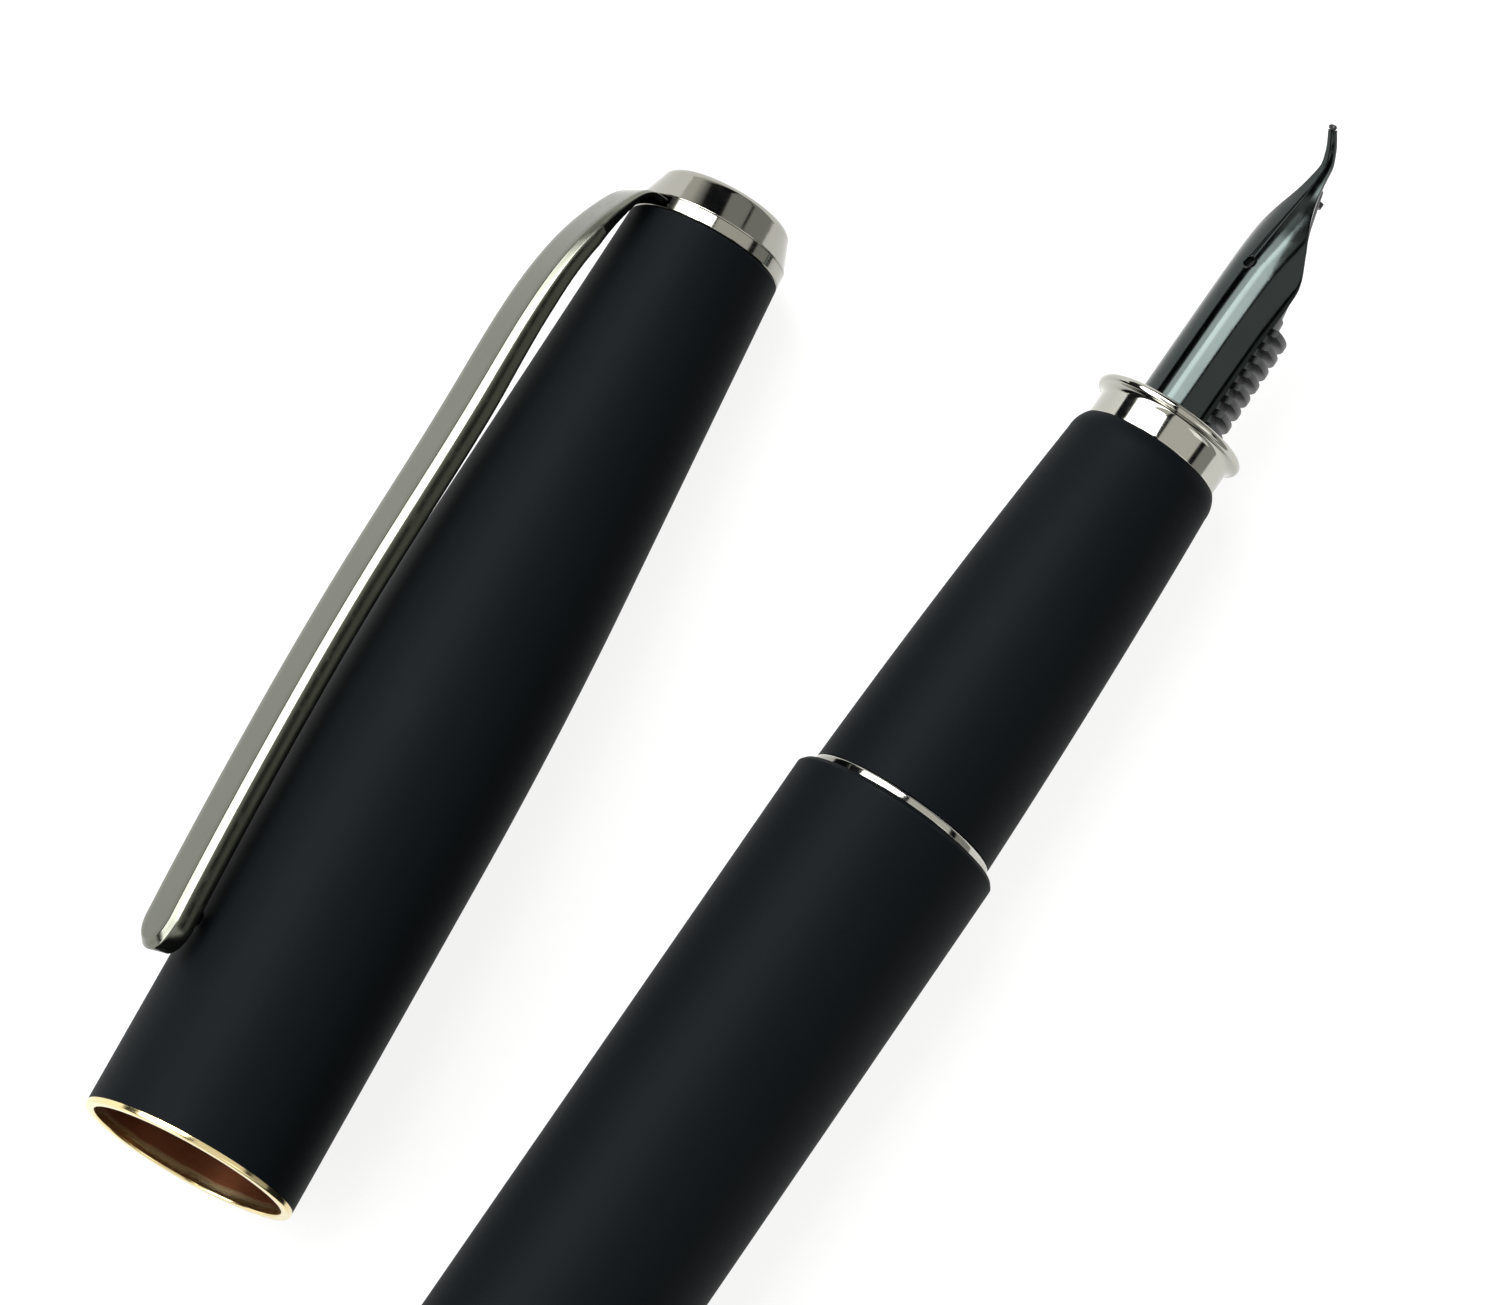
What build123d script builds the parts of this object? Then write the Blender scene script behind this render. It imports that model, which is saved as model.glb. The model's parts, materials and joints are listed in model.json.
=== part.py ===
from build123d import *
import os

os.makedirs("parts", exist_ok=True)

# A fountain pen lying uncapped beside its cap. Millimetres, +Z up, both resting on Z = 0.
# The pen's axis runs along +Y towards the nib. The cap's axis is turned a little about +Z.
# Along the pen, distances are measured from the barrel's front face, positive towards the nib.
# Along the cap, they are measured from its lip, positive towards the finial.
# Outlines are lists of (distance along the axis, radius).

# ---------------------------------------------------------------- driving dimensions
barrel_radius = 6.55
barrel_straight = 40.0
barrel_length = 72.0
barrel_tail_radius = 4.9
barrel_bore = 4.3
barrel_bevel = 0.2
insert_length = 12.0
insert_radius = 5.2
tail_wall = 3.5
tail_hole_radius = 3.0
tail_button_height = 3.2
tail_button_rim = 0.8
tail_flat_radius = 3.0
stud_radius = 1.5
screw_head_radius = 3.6
screw_head_height = 1.2

ring_thickness = 0.6
ring_radius = 5.85
tenon_radius = 4.6
tenon_length = 9.5
thread_pitch = 0.75
thread_depth = 0.25
running_gap = 0.06
fit = 0.02

grip_rear_radius = 5.8
grip_waist_at = 13.0
grip_waist_radius = 5.37
grip_nose_radius = 4.70
grip_nose_length = 1.2
grip_front_radius = 4.33
grip_front = 25.8
collar_radius = 4.22
flare_radius = 4.74
flare_front = 28.2
flare_length = 0.95
core_radius = 3.65
housing_radius = 3.2
nipple_radius = 1.25
nipple_bore = 0.7
nipple_rear = -3.0
core_rear_bore = 3.6
bulkhead_at = 3.2

nib_radius = 2.5
nib_thickness = 0.25
nib_roll = 45.0
nib_tip_at = 47.1
slit_width = 0.08
breather_at = 38.1
breather_radius = 0.36

feed_rear = 14.1
feed_radius = 2.18
fin_radius = 3.0
fin_thickness = 0.45
fin_pitch = 0.95
fin_count = 8
nose_start = 36.6
tooth_at = 43.4
tooth_radius = 0.32

converter_front = 2.6
converter_tube_radius = 3.3
converter_bore = 2.8
collar_front = -34.0
collar_rear = -44.0
knob_rear = -60.4
knob_radius = 3.45
knurl_count = 24
knurl_radius = 0.18
collar_bore = 2.4
piston_front = -8.0
piston_seal_length = 3.2
rod_radius = 1.0
rod_thread_pitch = 1.5

cap_radius = 6.5
cap_straight = 22.0
cap_blend_end = 40.0
cap_length = 60.1
cap_slope = 0.061
cap_wall = 0.3
sleeve_bore = 5.92
sleeve_length = 12.0
lip_height = 0.35
clutch_length = 5.0
clutch_bore = 5.4
finger_count = 8
inner_cap_end = 53.5
floor_height = 0.8
finial_height = 3.1
seat_height = 0.8
seat_bore = 3.6

clip_width = 3.9
clip_roll = 67.0
clip_tip_at = 8.7
clip_tip_height = 8.85
clip_thickness = 1.65

# ---------------------------------------------------------------- where the two halves lie
pen_x = 14.6
step_y = 13.85
cap_turn = 5.36
cap_dip = 1.9
cap_beside = 21.8
cap_behind = 38.9
cap_lip_height = 7.39

pen_origin = Vector(pen_x, step_y, barrel_radius)
pen_along = Vector(0, 1, 0)
pen_side = Plane(origin=pen_origin, x_dir=pen_along, z_dir=(1, 0, 0))
pen_axis = Axis(pen_origin, pen_along)

# The cap rests on the belly where its straight part meets its taper, so its top dips a little.
cap_origin = Vector(pen_x - cap_beside, step_y - cap_behind, cap_lip_height)
cap_right = Vector(1, 0, 0).rotate(Axis.Z, cap_turn)
cap_along = Vector(0, 1, 0).rotate(Axis.X, -cap_dip).rotate(Axis.Z, cap_turn)
cap_top = cap_right.cross(cap_along)
cap_side = Plane(origin=cap_origin, x_dir=cap_along, z_dir=cap_right)
cap_axis = Axis(cap_origin, cap_along)

# The nib's crown and the clip's face both look up and to the left.
nib_up = Vector(0, 0, 1).rotate(Axis.Y, -nib_roll)
nib_side = Plane(origin=pen_origin, x_dir=pen_along, z_dir=pen_along.cross(nib_up))
clip_up = cap_top.rotate(Axis(Vector(0, 0, 0), cap_along), -clip_roll)
clip_side = Plane(origin=cap_origin, x_dir=cap_along, z_dir=cap_along.cross(clip_up))


# ---------------------------------------------------------------- helpers
def outline(side, points):
    """A closed outline with straight sides on a plane that holds the axis."""
    with BuildSketch(side) as drawn:
        with BuildLine():
            Polyline(*points, close=True)
        make_face()
    return drawn.sketch


def tube(side, start, end, outer, inner):
    """The outline of a plain tube."""
    return outline(side, [(start, inner), (end, inner), (end, outer), (start, outer)])


def across_pen(along, crown=0.0, tilt=0.0):
    """A plane across the pen at a distance along it, its Y towards the nib's crown."""
    centre = pen_origin + pen_along * along + nib_up * crown
    sideways = nib_up.cross(pen_along)
    facing = pen_along.rotate(Axis(Vector(0, 0, 0), sideways), -tilt)
    return Plane(origin=centre, x_dir=sideways, z_dir=facing)


def save(piece, name):
    """Label a finished piece and write it under its own name."""
    piece.part.label = name
    export_step(piece.part, f"parts/{name}.step")


# ---------------------------------------------------------------- barrel
with BuildPart() as barrel_tube:
    with BuildSketch(pen_side):
        with BuildLine():
            Polyline((-barrel_straight, barrel_radius), (-barrel_bevel, barrel_radius),
                     (0, barrel_radius - barrel_bevel), (0, insert_radius), (-insert_length, insert_radius),
                     (-insert_length, barrel_bore), (-barrel_length + tail_wall, barrel_bore),
                     (-barrel_length + tail_wall, tail_hole_radius), (-barrel_length, tail_hole_radius),
                     (-barrel_length, barrel_tail_radius))
            TangentArc((-barrel_straight, barrel_radius), (-barrel_length, barrel_tail_radius),
                       tangent=(-1, 0))
        make_face()
    revolve(axis=pen_axis)
save(barrel_tube, "barrel_tube")

with BuildPart() as barrel_thread_insert:
    revolve(tube(pen_side, -insert_length + fit, -fit, insert_radius - fit, tenon_radius + running_gap),
            axis=pen_axis)
save(barrel_thread_insert, "barrel_thread_insert")

with BuildPart() as tail_button:
    tail_start = -barrel_length - fit
    tail_end = -barrel_length - tail_button_height
    with BuildSketch(pen_side):
        with BuildLine():
            Polyline((tail_start, 0), (tail_start, barrel_tail_radius),
                     (tail_start - tail_button_rim, barrel_tail_radius))
            TangentArc((tail_start - tail_button_rim, barrel_tail_radius), (tail_end, tail_flat_radius),
                       tangent=(-1, 0))
            Polyline((tail_end, tail_flat_radius), (tail_end, 0), (tail_start, 0))
        make_face()
    revolve(axis=pen_axis)
    screw_hole_end = tail_end + 1.2
    revolve(tube(pen_side, screw_hole_end, tail_start, stud_radius + fit, 0.0), axis=pen_axis,
            mode=Mode.SUBTRACT)
save(tail_button, "tail_button")

with BuildPart() as tail_screw:
    head_start = -barrel_length + tail_wall + fit
    head_end = head_start + screw_head_height - fit
    shoulder_radius = tail_hole_radius - 2 * fit
    revolve(outline(pen_side, [(head_end, 0), (head_end, screw_head_radius), (head_start, screw_head_radius),
                               (head_start, shoulder_radius), (-barrel_length + fit, shoulder_radius),
                               (-barrel_length + fit, stud_radius), (screw_hole_end + 2 * fit, stud_radius),
                               (screw_hole_end + 2 * fit, 0)]), axis=pen_axis)
save(tail_screw, "tail_screw")

# ---------------------------------------------------------------- centre ring
with BuildPart() as centre_ring:
    ring_bore = tenon_radius + running_gap
    ring_bevel = 0.08
    ring_rear = 0.03
    ring_front = ring_thickness - ring_rear
    revolve(outline(pen_side, [(ring_rear, ring_bore), (ring_front, ring_bore),
                               (ring_front, ring_radius - ring_bevel), (ring_front - ring_bevel, ring_radius),
                               (ring_rear + ring_bevel, ring_radius), (ring_rear, ring_radius - ring_bevel)]),
            axis=pen_axis)
save(centre_ring, "centre_ring")

# ---------------------------------------------------------------- section
with BuildPart() as section_grip:
    grip_bore_step = 5.0
    with BuildSketch(pen_side):
        with BuildLine():
            Polyline((ring_thickness, grip_rear_radius), (ring_thickness, tenon_radius + fit),
                     (grip_bore_step, tenon_radius + fit), (grip_bore_step, core_radius + fit),
                     (grip_front, core_radius + fit), (grip_front, grip_front_radius))
            ThreePointArc((grip_front, grip_front_radius), (grip_front - 0.4, grip_nose_radius - 0.14),
                          (grip_front - grip_nose_length, grip_nose_radius))
            ThreePointArc((grip_front - grip_nose_length, grip_nose_radius),
                          (grip_waist_at, grip_waist_radius), (ring_thickness, grip_rear_radius))
        make_face()
    revolve(axis=pen_axis)
save(section_grip, "section_grip")

with BuildPart() as section_core:
    core_end = flare_front - 0.5
    tenon_front = grip_bore_step - fit
    tenon_bevel = 0.4
    seal_at = -0.9
    seal_groove_half = 0.3
    seal_groove_depth = 0.55
    revolve(outline(pen_side, [(-tenon_length, core_rear_bore), (bulkhead_at, core_rear_bore),
                               (bulkhead_at, nipple_radius), (nipple_rear, nipple_radius),
                               (nipple_rear, nipple_bore), (grip_bore_step, nipple_bore),
                               (grip_bore_step, housing_radius + fit), (core_end, housing_radius + fit),
                               (core_end, core_radius), (tenon_front, core_radius),
                               (tenon_front, tenon_radius), (-tenon_length + tenon_bevel, tenon_radius),
                               (-tenon_length, tenon_radius - tenon_bevel)]), axis=pen_axis)
    revolve(tube(pen_side, seal_at - seal_groove_half, seal_at + seal_groove_half, tenon_radius + 0.1,
                 tenon_radius - seal_groove_depth), axis=pen_axis, mode=Mode.SUBTRACT)
    thread_start = seal_at - 1.3
    thread_half = 0.3
    thread_turns = int((tenon_length + thread_start) / thread_pitch)
    for turn in range(thread_turns):
        groove = thread_start - turn * thread_pitch
        revolve(outline(pen_side, [(groove - thread_half, tenon_radius + 0.1),
                                   (groove, tenon_radius - thread_depth),
                                   (groove + thread_half, tenon_radius + 0.1)]),
                axis=pen_axis, mode=Mode.SUBTRACT)
save(section_core, "section_core")

with BuildPart() as section_seal:
    seal_radius = 0.25
    with BuildSketch(pen_side):
        with Locations((seal_at, tenon_radius - 0.04 - seal_radius)):
            Circle(seal_radius)
    revolve(axis=pen_axis)
save(section_seal, "section_seal")

with BuildPart() as section_collar:
    flare_start = flare_front - flare_length
    with BuildSketch(pen_side):
        with BuildLine():
            Polyline((flare_front - 0.1, housing_radius + 0.35), (flare_front - 0.45, core_radius + fit),
                     (grip_front + fit, core_radius + fit), (grip_front + fit, collar_radius),
                     (flare_start, collar_radius))
            ThreePointArc((flare_start, collar_radius), (flare_start + 0.3, collar_radius + 0.12),
                          (flare_front - 0.5, flare_radius - 0.1))
            ThreePointArc((flare_front - 0.5, flare_radius - 0.1), (flare_front - 0.22, flare_radius),
                          (flare_front, flare_radius - 0.25))
            Polyline((flare_front, flare_radius - 0.25), (flare_front, collar_radius - 0.3),
                     (flare_front - 0.1, housing_radius + 0.35))
        make_face()
    revolve(axis=pen_axis)
save(section_collar, "section_collar")

with BuildPart() as feed_housing:
    housing_rear = grip_bore_step + 0.05
    housing_front = flare_front - 0.6
    housing_floor = feed_rear - 0.1
    ink_bore = 0.75
    revolve(outline(pen_side, [(housing_rear, ink_bore), (housing_floor, ink_bore),
                               (housing_floor, nib_radius + fit), (housing_front, nib_radius + fit),
                               (housing_front, housing_radius), (housing_rear, housing_radius)]),
            axis=pen_axis)
save(feed_housing, "feed_housing")

# ---------------------------------------------------------------- nib
# Each station: distance along the pen, crown height, outer radius, half angle of the arc, forward tilt.
nib_stations = [
    (18.0, 2.50, 2.50, 84.0, 0.0),
    (28.0, 2.50, 2.50, 84.0, 0.0),
    (34.0, 2.47, 2.52, 84.0, 0.0),
    (38.0, 2.36, 2.65, 78.0, -4.0),
    (40.1, 2.15, 2.90, 52.0, -7.0),
    (42.0, 1.88, 3.00, 29.0, -8.0),
    (44.0, 1.60, 3.00, 13.5, -6.0),
    (45.3, 1.55, 3.00, 8.2, 12.0),
    (46.2, 2.00, 3.00, 6.4, 38.0),
    (nib_tip_at, 2.90, 3.00, 5.0, 50.0),
]
with BuildPart() as nib:
    for along, crown, radius, half_angle, tilt in nib_stations:
        with BuildSketch(across_pen(along, crown, tilt)):
            with BuildLine():
                start = 90 - half_angle
                outer_arc = CenterArc((0, -radius), radius, start, 2 * half_angle)
                inner_arc = CenterArc((0, -radius), radius - nib_thickness, start, 2 * half_angle)
                Line(outer_arc @ 0, inner_arc @ 0)
                Line(outer_arc @ 1, inner_arc @ 1)
            make_face()
    loft(ruled=True)
    with BuildSketch(nib_side):
        with Locations(((breather_at + nib_tip_at + 2) / 2, nib_radius)):
            Rectangle(nib_tip_at + 2 - breather_at, 2 * nib_radius)
    extrude(amount=slit_width / 2, both=True, mode=Mode.SUBTRACT)
    breather_plane = Plane(origin=pen_origin + pen_along * breather_at, z_dir=nib_up)
    with BuildSketch(breather_plane):
        Circle(breather_radius)
    extrude(amount=2 * nib_radius, mode=Mode.SUBTRACT)
save(nib, "nib")

with BuildPart() as nib_tip:
    tip_along, tip_crown, _, _, tip_tilt = nib_stations[-1]
    tip_plane = across_pen(tip_along, tip_crown, tip_tilt)
    with BuildSketch(tip_plane.offset(0.01)):
        with Locations((0, -nib_thickness / 2)):
            RectangleRounded(0.56, 0.3, 0.12)
    extrude(amount=0.3)
save(nib_tip, "nib_tip")

# ---------------------------------------------------------------- feed
# Each station of the nose: distance along the pen, height of the centre, radius.
nose_stations = [
    (nose_start, 0.0, 1.95),
    (38.4, 0.15, 1.75),
    (40.2, 0.45, 1.30),
    (42.0, 0.68, 0.80),
    (44.2, 0.90, 0.32),
]
with BuildPart() as feed:
    revolve(outline(pen_side, [(feed_rear, 0), (nose_start, 0), (nose_start, feed_radius - 0.1),
                               (nose_start - 1.5, feed_radius), (feed_rear, feed_radius)]), axis=pen_axis)
    for fin in range(fin_count):
        fin_start = flare_front + 0.35 + fin * fin_pitch
        with BuildSketch(across_pen(fin_start)):
            Circle(fin_radius)
            with Locations((0, fin_radius + 0.05)):
                Rectangle(2 * fin_radius, 2 * fin_radius, mode=Mode.SUBTRACT)
        extrude(amount=fin_thickness)
    for along, height, radius in nose_stations:
        with BuildSketch(across_pen(along, height)):
            Circle(radius)
    loft()
    with BuildSketch(across_pen(tooth_at, 0.55)):
        Circle(tooth_radius)
    extrude(amount=0.35)
save(feed, "feed")

# ---------------------------------------------------------------- converter
with BuildPart() as converter_nozzle:
    nozzle_rear = -6.4
    nozzle_radius = 3.45
    nozzle_bore = nipple_radius + 0.05
    nozzle_floor = nipple_rear - 0.6
    revolve(outline(pen_side, [(converter_front, nozzle_bore), (nozzle_floor, nozzle_bore),
                               (nozzle_floor, nipple_bore), (nozzle_rear, nipple_bore),
                               (nozzle_rear, nozzle_radius), (converter_front, nozzle_radius)]),
            axis=pen_axis)
save(converter_nozzle, "converter_nozzle")

with BuildPart() as converter_tube:
    tube_rear = collar_front - 3.0
    revolve(tube(pen_side, tube_rear, nozzle_rear - fit, converter_tube_radius, converter_bore),
            axis=pen_axis)
save(converter_tube, "converter_tube")

with BuildPart() as converter_collar:
    converter_collar_radius = 3.6
    revolve(outline(pen_side, [(collar_front, converter_tube_radius + fit),
                               (tube_rear - fit, converter_tube_radius + fit),
                               (tube_rear - fit, collar_bore), (collar_rear, collar_bore),
                               (collar_rear, converter_collar_radius),
                               (collar_front, converter_collar_radius)]), axis=pen_axis)
save(converter_collar, "converter_collar")

with BuildPart() as converter_knob:
    knob_front = collar_rear - 0.1
    knob_bore = rod_radius + 0.3
    knob_wall = 1.2
    knob_bevel = 0.5
    socket_depth = 1.5
    socket_radius = knob_bore + 0.6
    revolve(outline(pen_side, [(knob_front, socket_radius), (knob_front - socket_depth, socket_radius),
                               (knob_front - socket_depth, knob_bore), (knob_rear + knob_wall, knob_bore),
                               (knob_rear + knob_wall, 0), (knob_rear, 0),
                               (knob_rear, knob_radius - knob_bevel), (knob_rear + knob_bevel, knob_radius),
                               (knob_front, knob_radius)]), axis=pen_axis)
    knurl_start = knob_rear + 1.0
    with BuildSketch(across_pen(knurl_start)):
        with PolarLocations(knob_radius, knurl_count):
            Circle(knurl_radius)
    extrude(amount=knob_front - 2.0 - knurl_start, mode=Mode.SUBTRACT)
save(converter_knob, "converter_knob")

with BuildPart() as piston_nut:
    nut_bore = rod_radius + running_gap
    nut_front = collar_front - 4.0
    nut_rear = knob_front - socket_depth + 2 * fit
    nut_radius = collar_bore - running_gap
    flange_radius = socket_radius - 2 * fit
    revolve(outline(pen_side, [(nut_front, nut_bore), (nut_rear, nut_bore), (nut_rear, flange_radius),
                               (knob_front + fit, flange_radius), (knob_front + fit, nut_radius),
                               (nut_front, nut_radius)]), axis=pen_axis)
save(piston_nut, "piston_nut")

with BuildPart() as piston_seal:
    seal_outer = converter_bore - 0.03
    seal_waist = seal_outer - 0.4
    seal_bevel = 0.25
    lip_length = 0.9
    waist_inset = 1.2
    seal_rear = piston_front - piston_seal_length
    rod_socket = seal_rear + 1.6
    revolve(outline(pen_side, [(piston_front, 0), (piston_front, seal_outer - seal_bevel),
                               (piston_front - seal_bevel, seal_outer),
                               (piston_front - lip_length, seal_outer),
                               (piston_front - waist_inset, seal_waist),
                               (seal_rear + waist_inset, seal_waist),
                               (seal_rear + lip_length, seal_outer), (seal_rear + seal_bevel, seal_outer),
                               (seal_rear, seal_outer - seal_bevel), (seal_rear, rod_radius + fit),
                               (rod_socket, rod_radius + fit), (rod_socket, 0)]), axis=pen_axis)
save(piston_seal, "piston_seal")

with BuildPart() as piston_rod:
    rod_rear = collar_rear + 3.0
    rod_front = rod_socket - fit
    rod_bevel = 0.3
    rod_thread_depth = 0.2
    rod_thread_start = rod_rear + 1.2
    plain_length = 4.0
    revolve(outline(pen_side, [(rod_rear, 0), (rod_front, 0), (rod_front, rod_radius),
                               (rod_rear + rod_bevel, rod_radius), (rod_rear, rod_radius - rod_bevel)]),
            axis=pen_axis)
    rod_turns = int((seal_rear - rod_rear - plain_length) / rod_thread_pitch)
    for turn in range(rod_turns):
        groove = rod_thread_start + turn * rod_thread_pitch
        revolve(outline(pen_side, [(groove - thread_half, rod_radius + 0.05),
                                   (groove, rod_radius - rod_thread_depth),
                                   (groove + thread_half, rod_radius + 0.05)]),
                axis=pen_axis, mode=Mode.SUBTRACT)
save(piston_rod, "piston_rod")

# ---------------------------------------------------------------- cap
blend_radius = cap_radius - cap_slope * (cap_blend_end - cap_straight) / 2
top_radius = blend_radius - cap_slope * (cap_length - cap_blend_end)
tube_bore = cap_radius - cap_wall
taper_wall = cap_wall + 0.1
floor_start = cap_length - floor_height
with BuildPart() as cap_tube:
    with BuildSketch(cap_side):
        with BuildLine():
            Polyline((cap_blend_end, blend_radius), (cap_length, top_radius), (cap_length, stud_radius + 0.1),
                     (floor_start, stud_radius + 0.1), (floor_start, top_radius - taper_wall),
                     (cap_blend_end, blend_radius - taper_wall), (cap_straight, tube_bore),
                     (lip_height, tube_bore), (lip_height, cap_radius), (cap_straight, cap_radius))
            TangentArc((cap_straight, cap_radius), (cap_blend_end, blend_radius), tangent=(1, 0))
        make_face()
    revolve(axis=cap_axis)
save(cap_tube, "cap_tube")

with BuildPart() as cap_mouth_sleeve:
    inner_bevel = 0.12
    outer_bevel = 0.14
    revolve(outline(cap_side, [(0.0, sleeve_bore + inner_bevel), (inner_bevel, sleeve_bore),
                               (sleeve_length, sleeve_bore), (sleeve_length, tube_bore - fit),
                               (lip_height - fit, tube_bore - fit), (lip_height - fit, cap_radius),
                               (outer_bevel, cap_radius), (0.0, cap_radius - outer_bevel)]), axis=cap_axis)
save(cap_mouth_sleeve, "cap_mouth_sleeve")

with BuildPart() as cap_clutch:
    clutch_start = sleeve_length + 0.05
    clutch_end = clutch_start + clutch_length
    clutch_outer = tube_bore - 0.03
    clutch_wall = tube_bore - 0.3
    revolve(outline(cap_side, [(clutch_start, clutch_wall), (clutch_start, clutch_outer),
                               (clutch_end, clutch_outer), (clutch_end, clutch_wall),
                               (clutch_end - 1.0, clutch_wall), (clutch_start + 2.5, clutch_bore),
                               (clutch_start + 2.0, clutch_bore), (clutch_start + 0.5, clutch_wall)]),
            axis=cap_axis)
    with BuildSketch(Plane(origin=cap_origin + cap_along * (clutch_start + 0.6), x_dir=cap_right,
                           z_dir=cap_along)):
        with PolarLocations(clutch_bore + 0.2, finger_count):
            Rectangle(1.2, 1.4)
    extrude(amount=clutch_end - clutch_start - 1.7, mode=Mode.SUBTRACT)
save(cap_clutch, "cap_clutch")

with BuildPart() as inner_cap:
    inner_start = clutch_end + 0.1
    inner_floor = inner_cap_end - 1.5
    inner_top = top_radius + cap_slope * (cap_length - inner_cap_end) - cap_wall - 0.25
    revolve(outline(cap_side, [(inner_start, 5.35), (28.5, 5.2), (30.5, 4.6), (inner_floor, 3.8),
                               (inner_floor, 0), (inner_cap_end, 0), (inner_cap_end, inner_top),
                               (cap_blend_end, blend_radius - cap_wall - 0.15),
                               (cap_straight + 1.0, tube_bore - 0.12), (inner_start, tube_bore - 0.05)]),
            axis=cap_axis)
save(inner_cap, "inner_cap")

with BuildPart() as finial_nut:
    finial_nut_start = inner_cap_end + 0.6
    revolve(tube(cap_side, finial_nut_start, floor_start - fit, screw_head_radius, stud_radius + fit),
            axis=cap_axis)
save(finial_nut, "finial_nut")

seat_start = cap_length + fit
seat_end = cap_length + seat_height
seat_radius = top_radius - fit
tongue_bottom = cap_length + 0.30
tongue_top = cap_length + 0.68
with BuildPart() as clip_seat:
    revolve(outline(cap_side, [(seat_start, seat_bore), (seat_end, seat_bore), (seat_end, seat_radius),
                               (seat_start + 0.1, seat_radius), (seat_start, seat_radius - 0.1)]),
            axis=cap_axis)
    slot_gap = 0.1
    with BuildSketch(clip_side):
        with Locations(((tongue_bottom + seat_end) / 2, 5.0)):
            Rectangle(seat_end - tongue_bottom + 0.4, 5.0)
    extrude(amount=clip_width / 2 + slot_gap, both=True, mode=Mode.SUBTRACT)
save(clip_seat, "clip_seat")

with BuildPart() as clip_spring:
    spring_thickness = 0.16
    revolve(tube(cap_side, seat_start, seat_start + spring_thickness, seat_bore - 0.1, stud_radius + 0.15),
            axis=cap_axis)
save(clip_spring, "clip_spring")

with BuildPart() as finial:
    finial_start = seat_end + fit
    finial_end = cap_length + finial_height
    finial_crown_at = finial_end - 0.6
    finial_crown_radius = 4.08
    finial_flat_radius = 3.4
    finial_hole_end = finial_start + 1.2
    with BuildSketch(cap_side):
        with BuildLine():
            Polyline((finial_hole_end, 0), (finial_hole_end, stud_radius + fit),
                     (finial_start, stud_radius + fit), (finial_start, top_radius - 0.06),
                     (finial_start + 0.06, top_radius), (finial_crown_at, finial_crown_radius))
            ThreePointArc((finial_crown_at, finial_crown_radius), (finial_end - 0.17, 3.86),
                          (finial_end, finial_flat_radius))
            Polyline((finial_end, finial_flat_radius), (finial_end, 0), (finial_hole_end, 0))
        make_face()
    revolve(axis=cap_axis)
save(finial, "finial")

with BuildPart() as finial_screw:
    revolve(tube(cap_side, finial_nut_start, finial_hole_end - fit, stud_radius, 0.0), axis=cap_axis)
save(finial_screw, "finial_screw")

# ---------------------------------------------------------------- clip
with BuildPart() as clip:
    shoulder_out = 4.9
    with BuildSketch(clip_side):
        with BuildLine():
            Polyline((tongue_bottom, shoulder_out), (tongue_bottom, 2.9), (tongue_top, 2.9),
                     (tongue_top, shoulder_out))
            Spline((tongue_top, shoulder_out), (59.2, 6.5), (57.1, 7.4), (45.0, 8.65), (33.0, 9.15),
                   (23.0, 9.25), (clip_tip_at, clip_tip_height), tangents=[(0, 1), (-1, -0.05)])
            Line((clip_tip_at, clip_tip_height), (clip_tip_at, clip_tip_height - clip_thickness))
            Spline((clip_tip_at, clip_tip_height - clip_thickness), (23.0, 9.25 - clip_thickness),
                   (33.0, 9.15 - clip_thickness), (45.0, 8.65 - clip_thickness), (56.6, 6.3), (58.3, 5.75),
                   (tongue_bottom, shoulder_out), tangents=[(1, 0.05), (0, -1)])
        make_face()
    extrude(amount=clip_width / 2, both=True)
    plan_plane = Plane(origin=cap_origin, x_dir=cap_along, z_dir=clip_up)
    with BuildSketch(plan_plane):
        with Locations(((clip_tip_at + cap_length + 2.0) / 2, 0)):
            SlotOverall(cap_length + 2.0 - clip_tip_at, clip_width)
        with Locations((cap_length, 0)):
            Rectangle(8.0, clip_width)
    extrude(amount=20.0, mode=Mode.INTERSECT)
    bump_at = clip_tip_at + 3.0
    bump_radius = 0.7
    bump_plane = Plane(origin=cap_origin + cap_along * bump_at + clip_up * (cap_radius + 0.12), z_dir=clip_up)
    with BuildSketch(bump_plane):
        Circle(bump_radius)
    extrude(amount=1.6, taper=-12)
save(clip, "clip")
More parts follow.
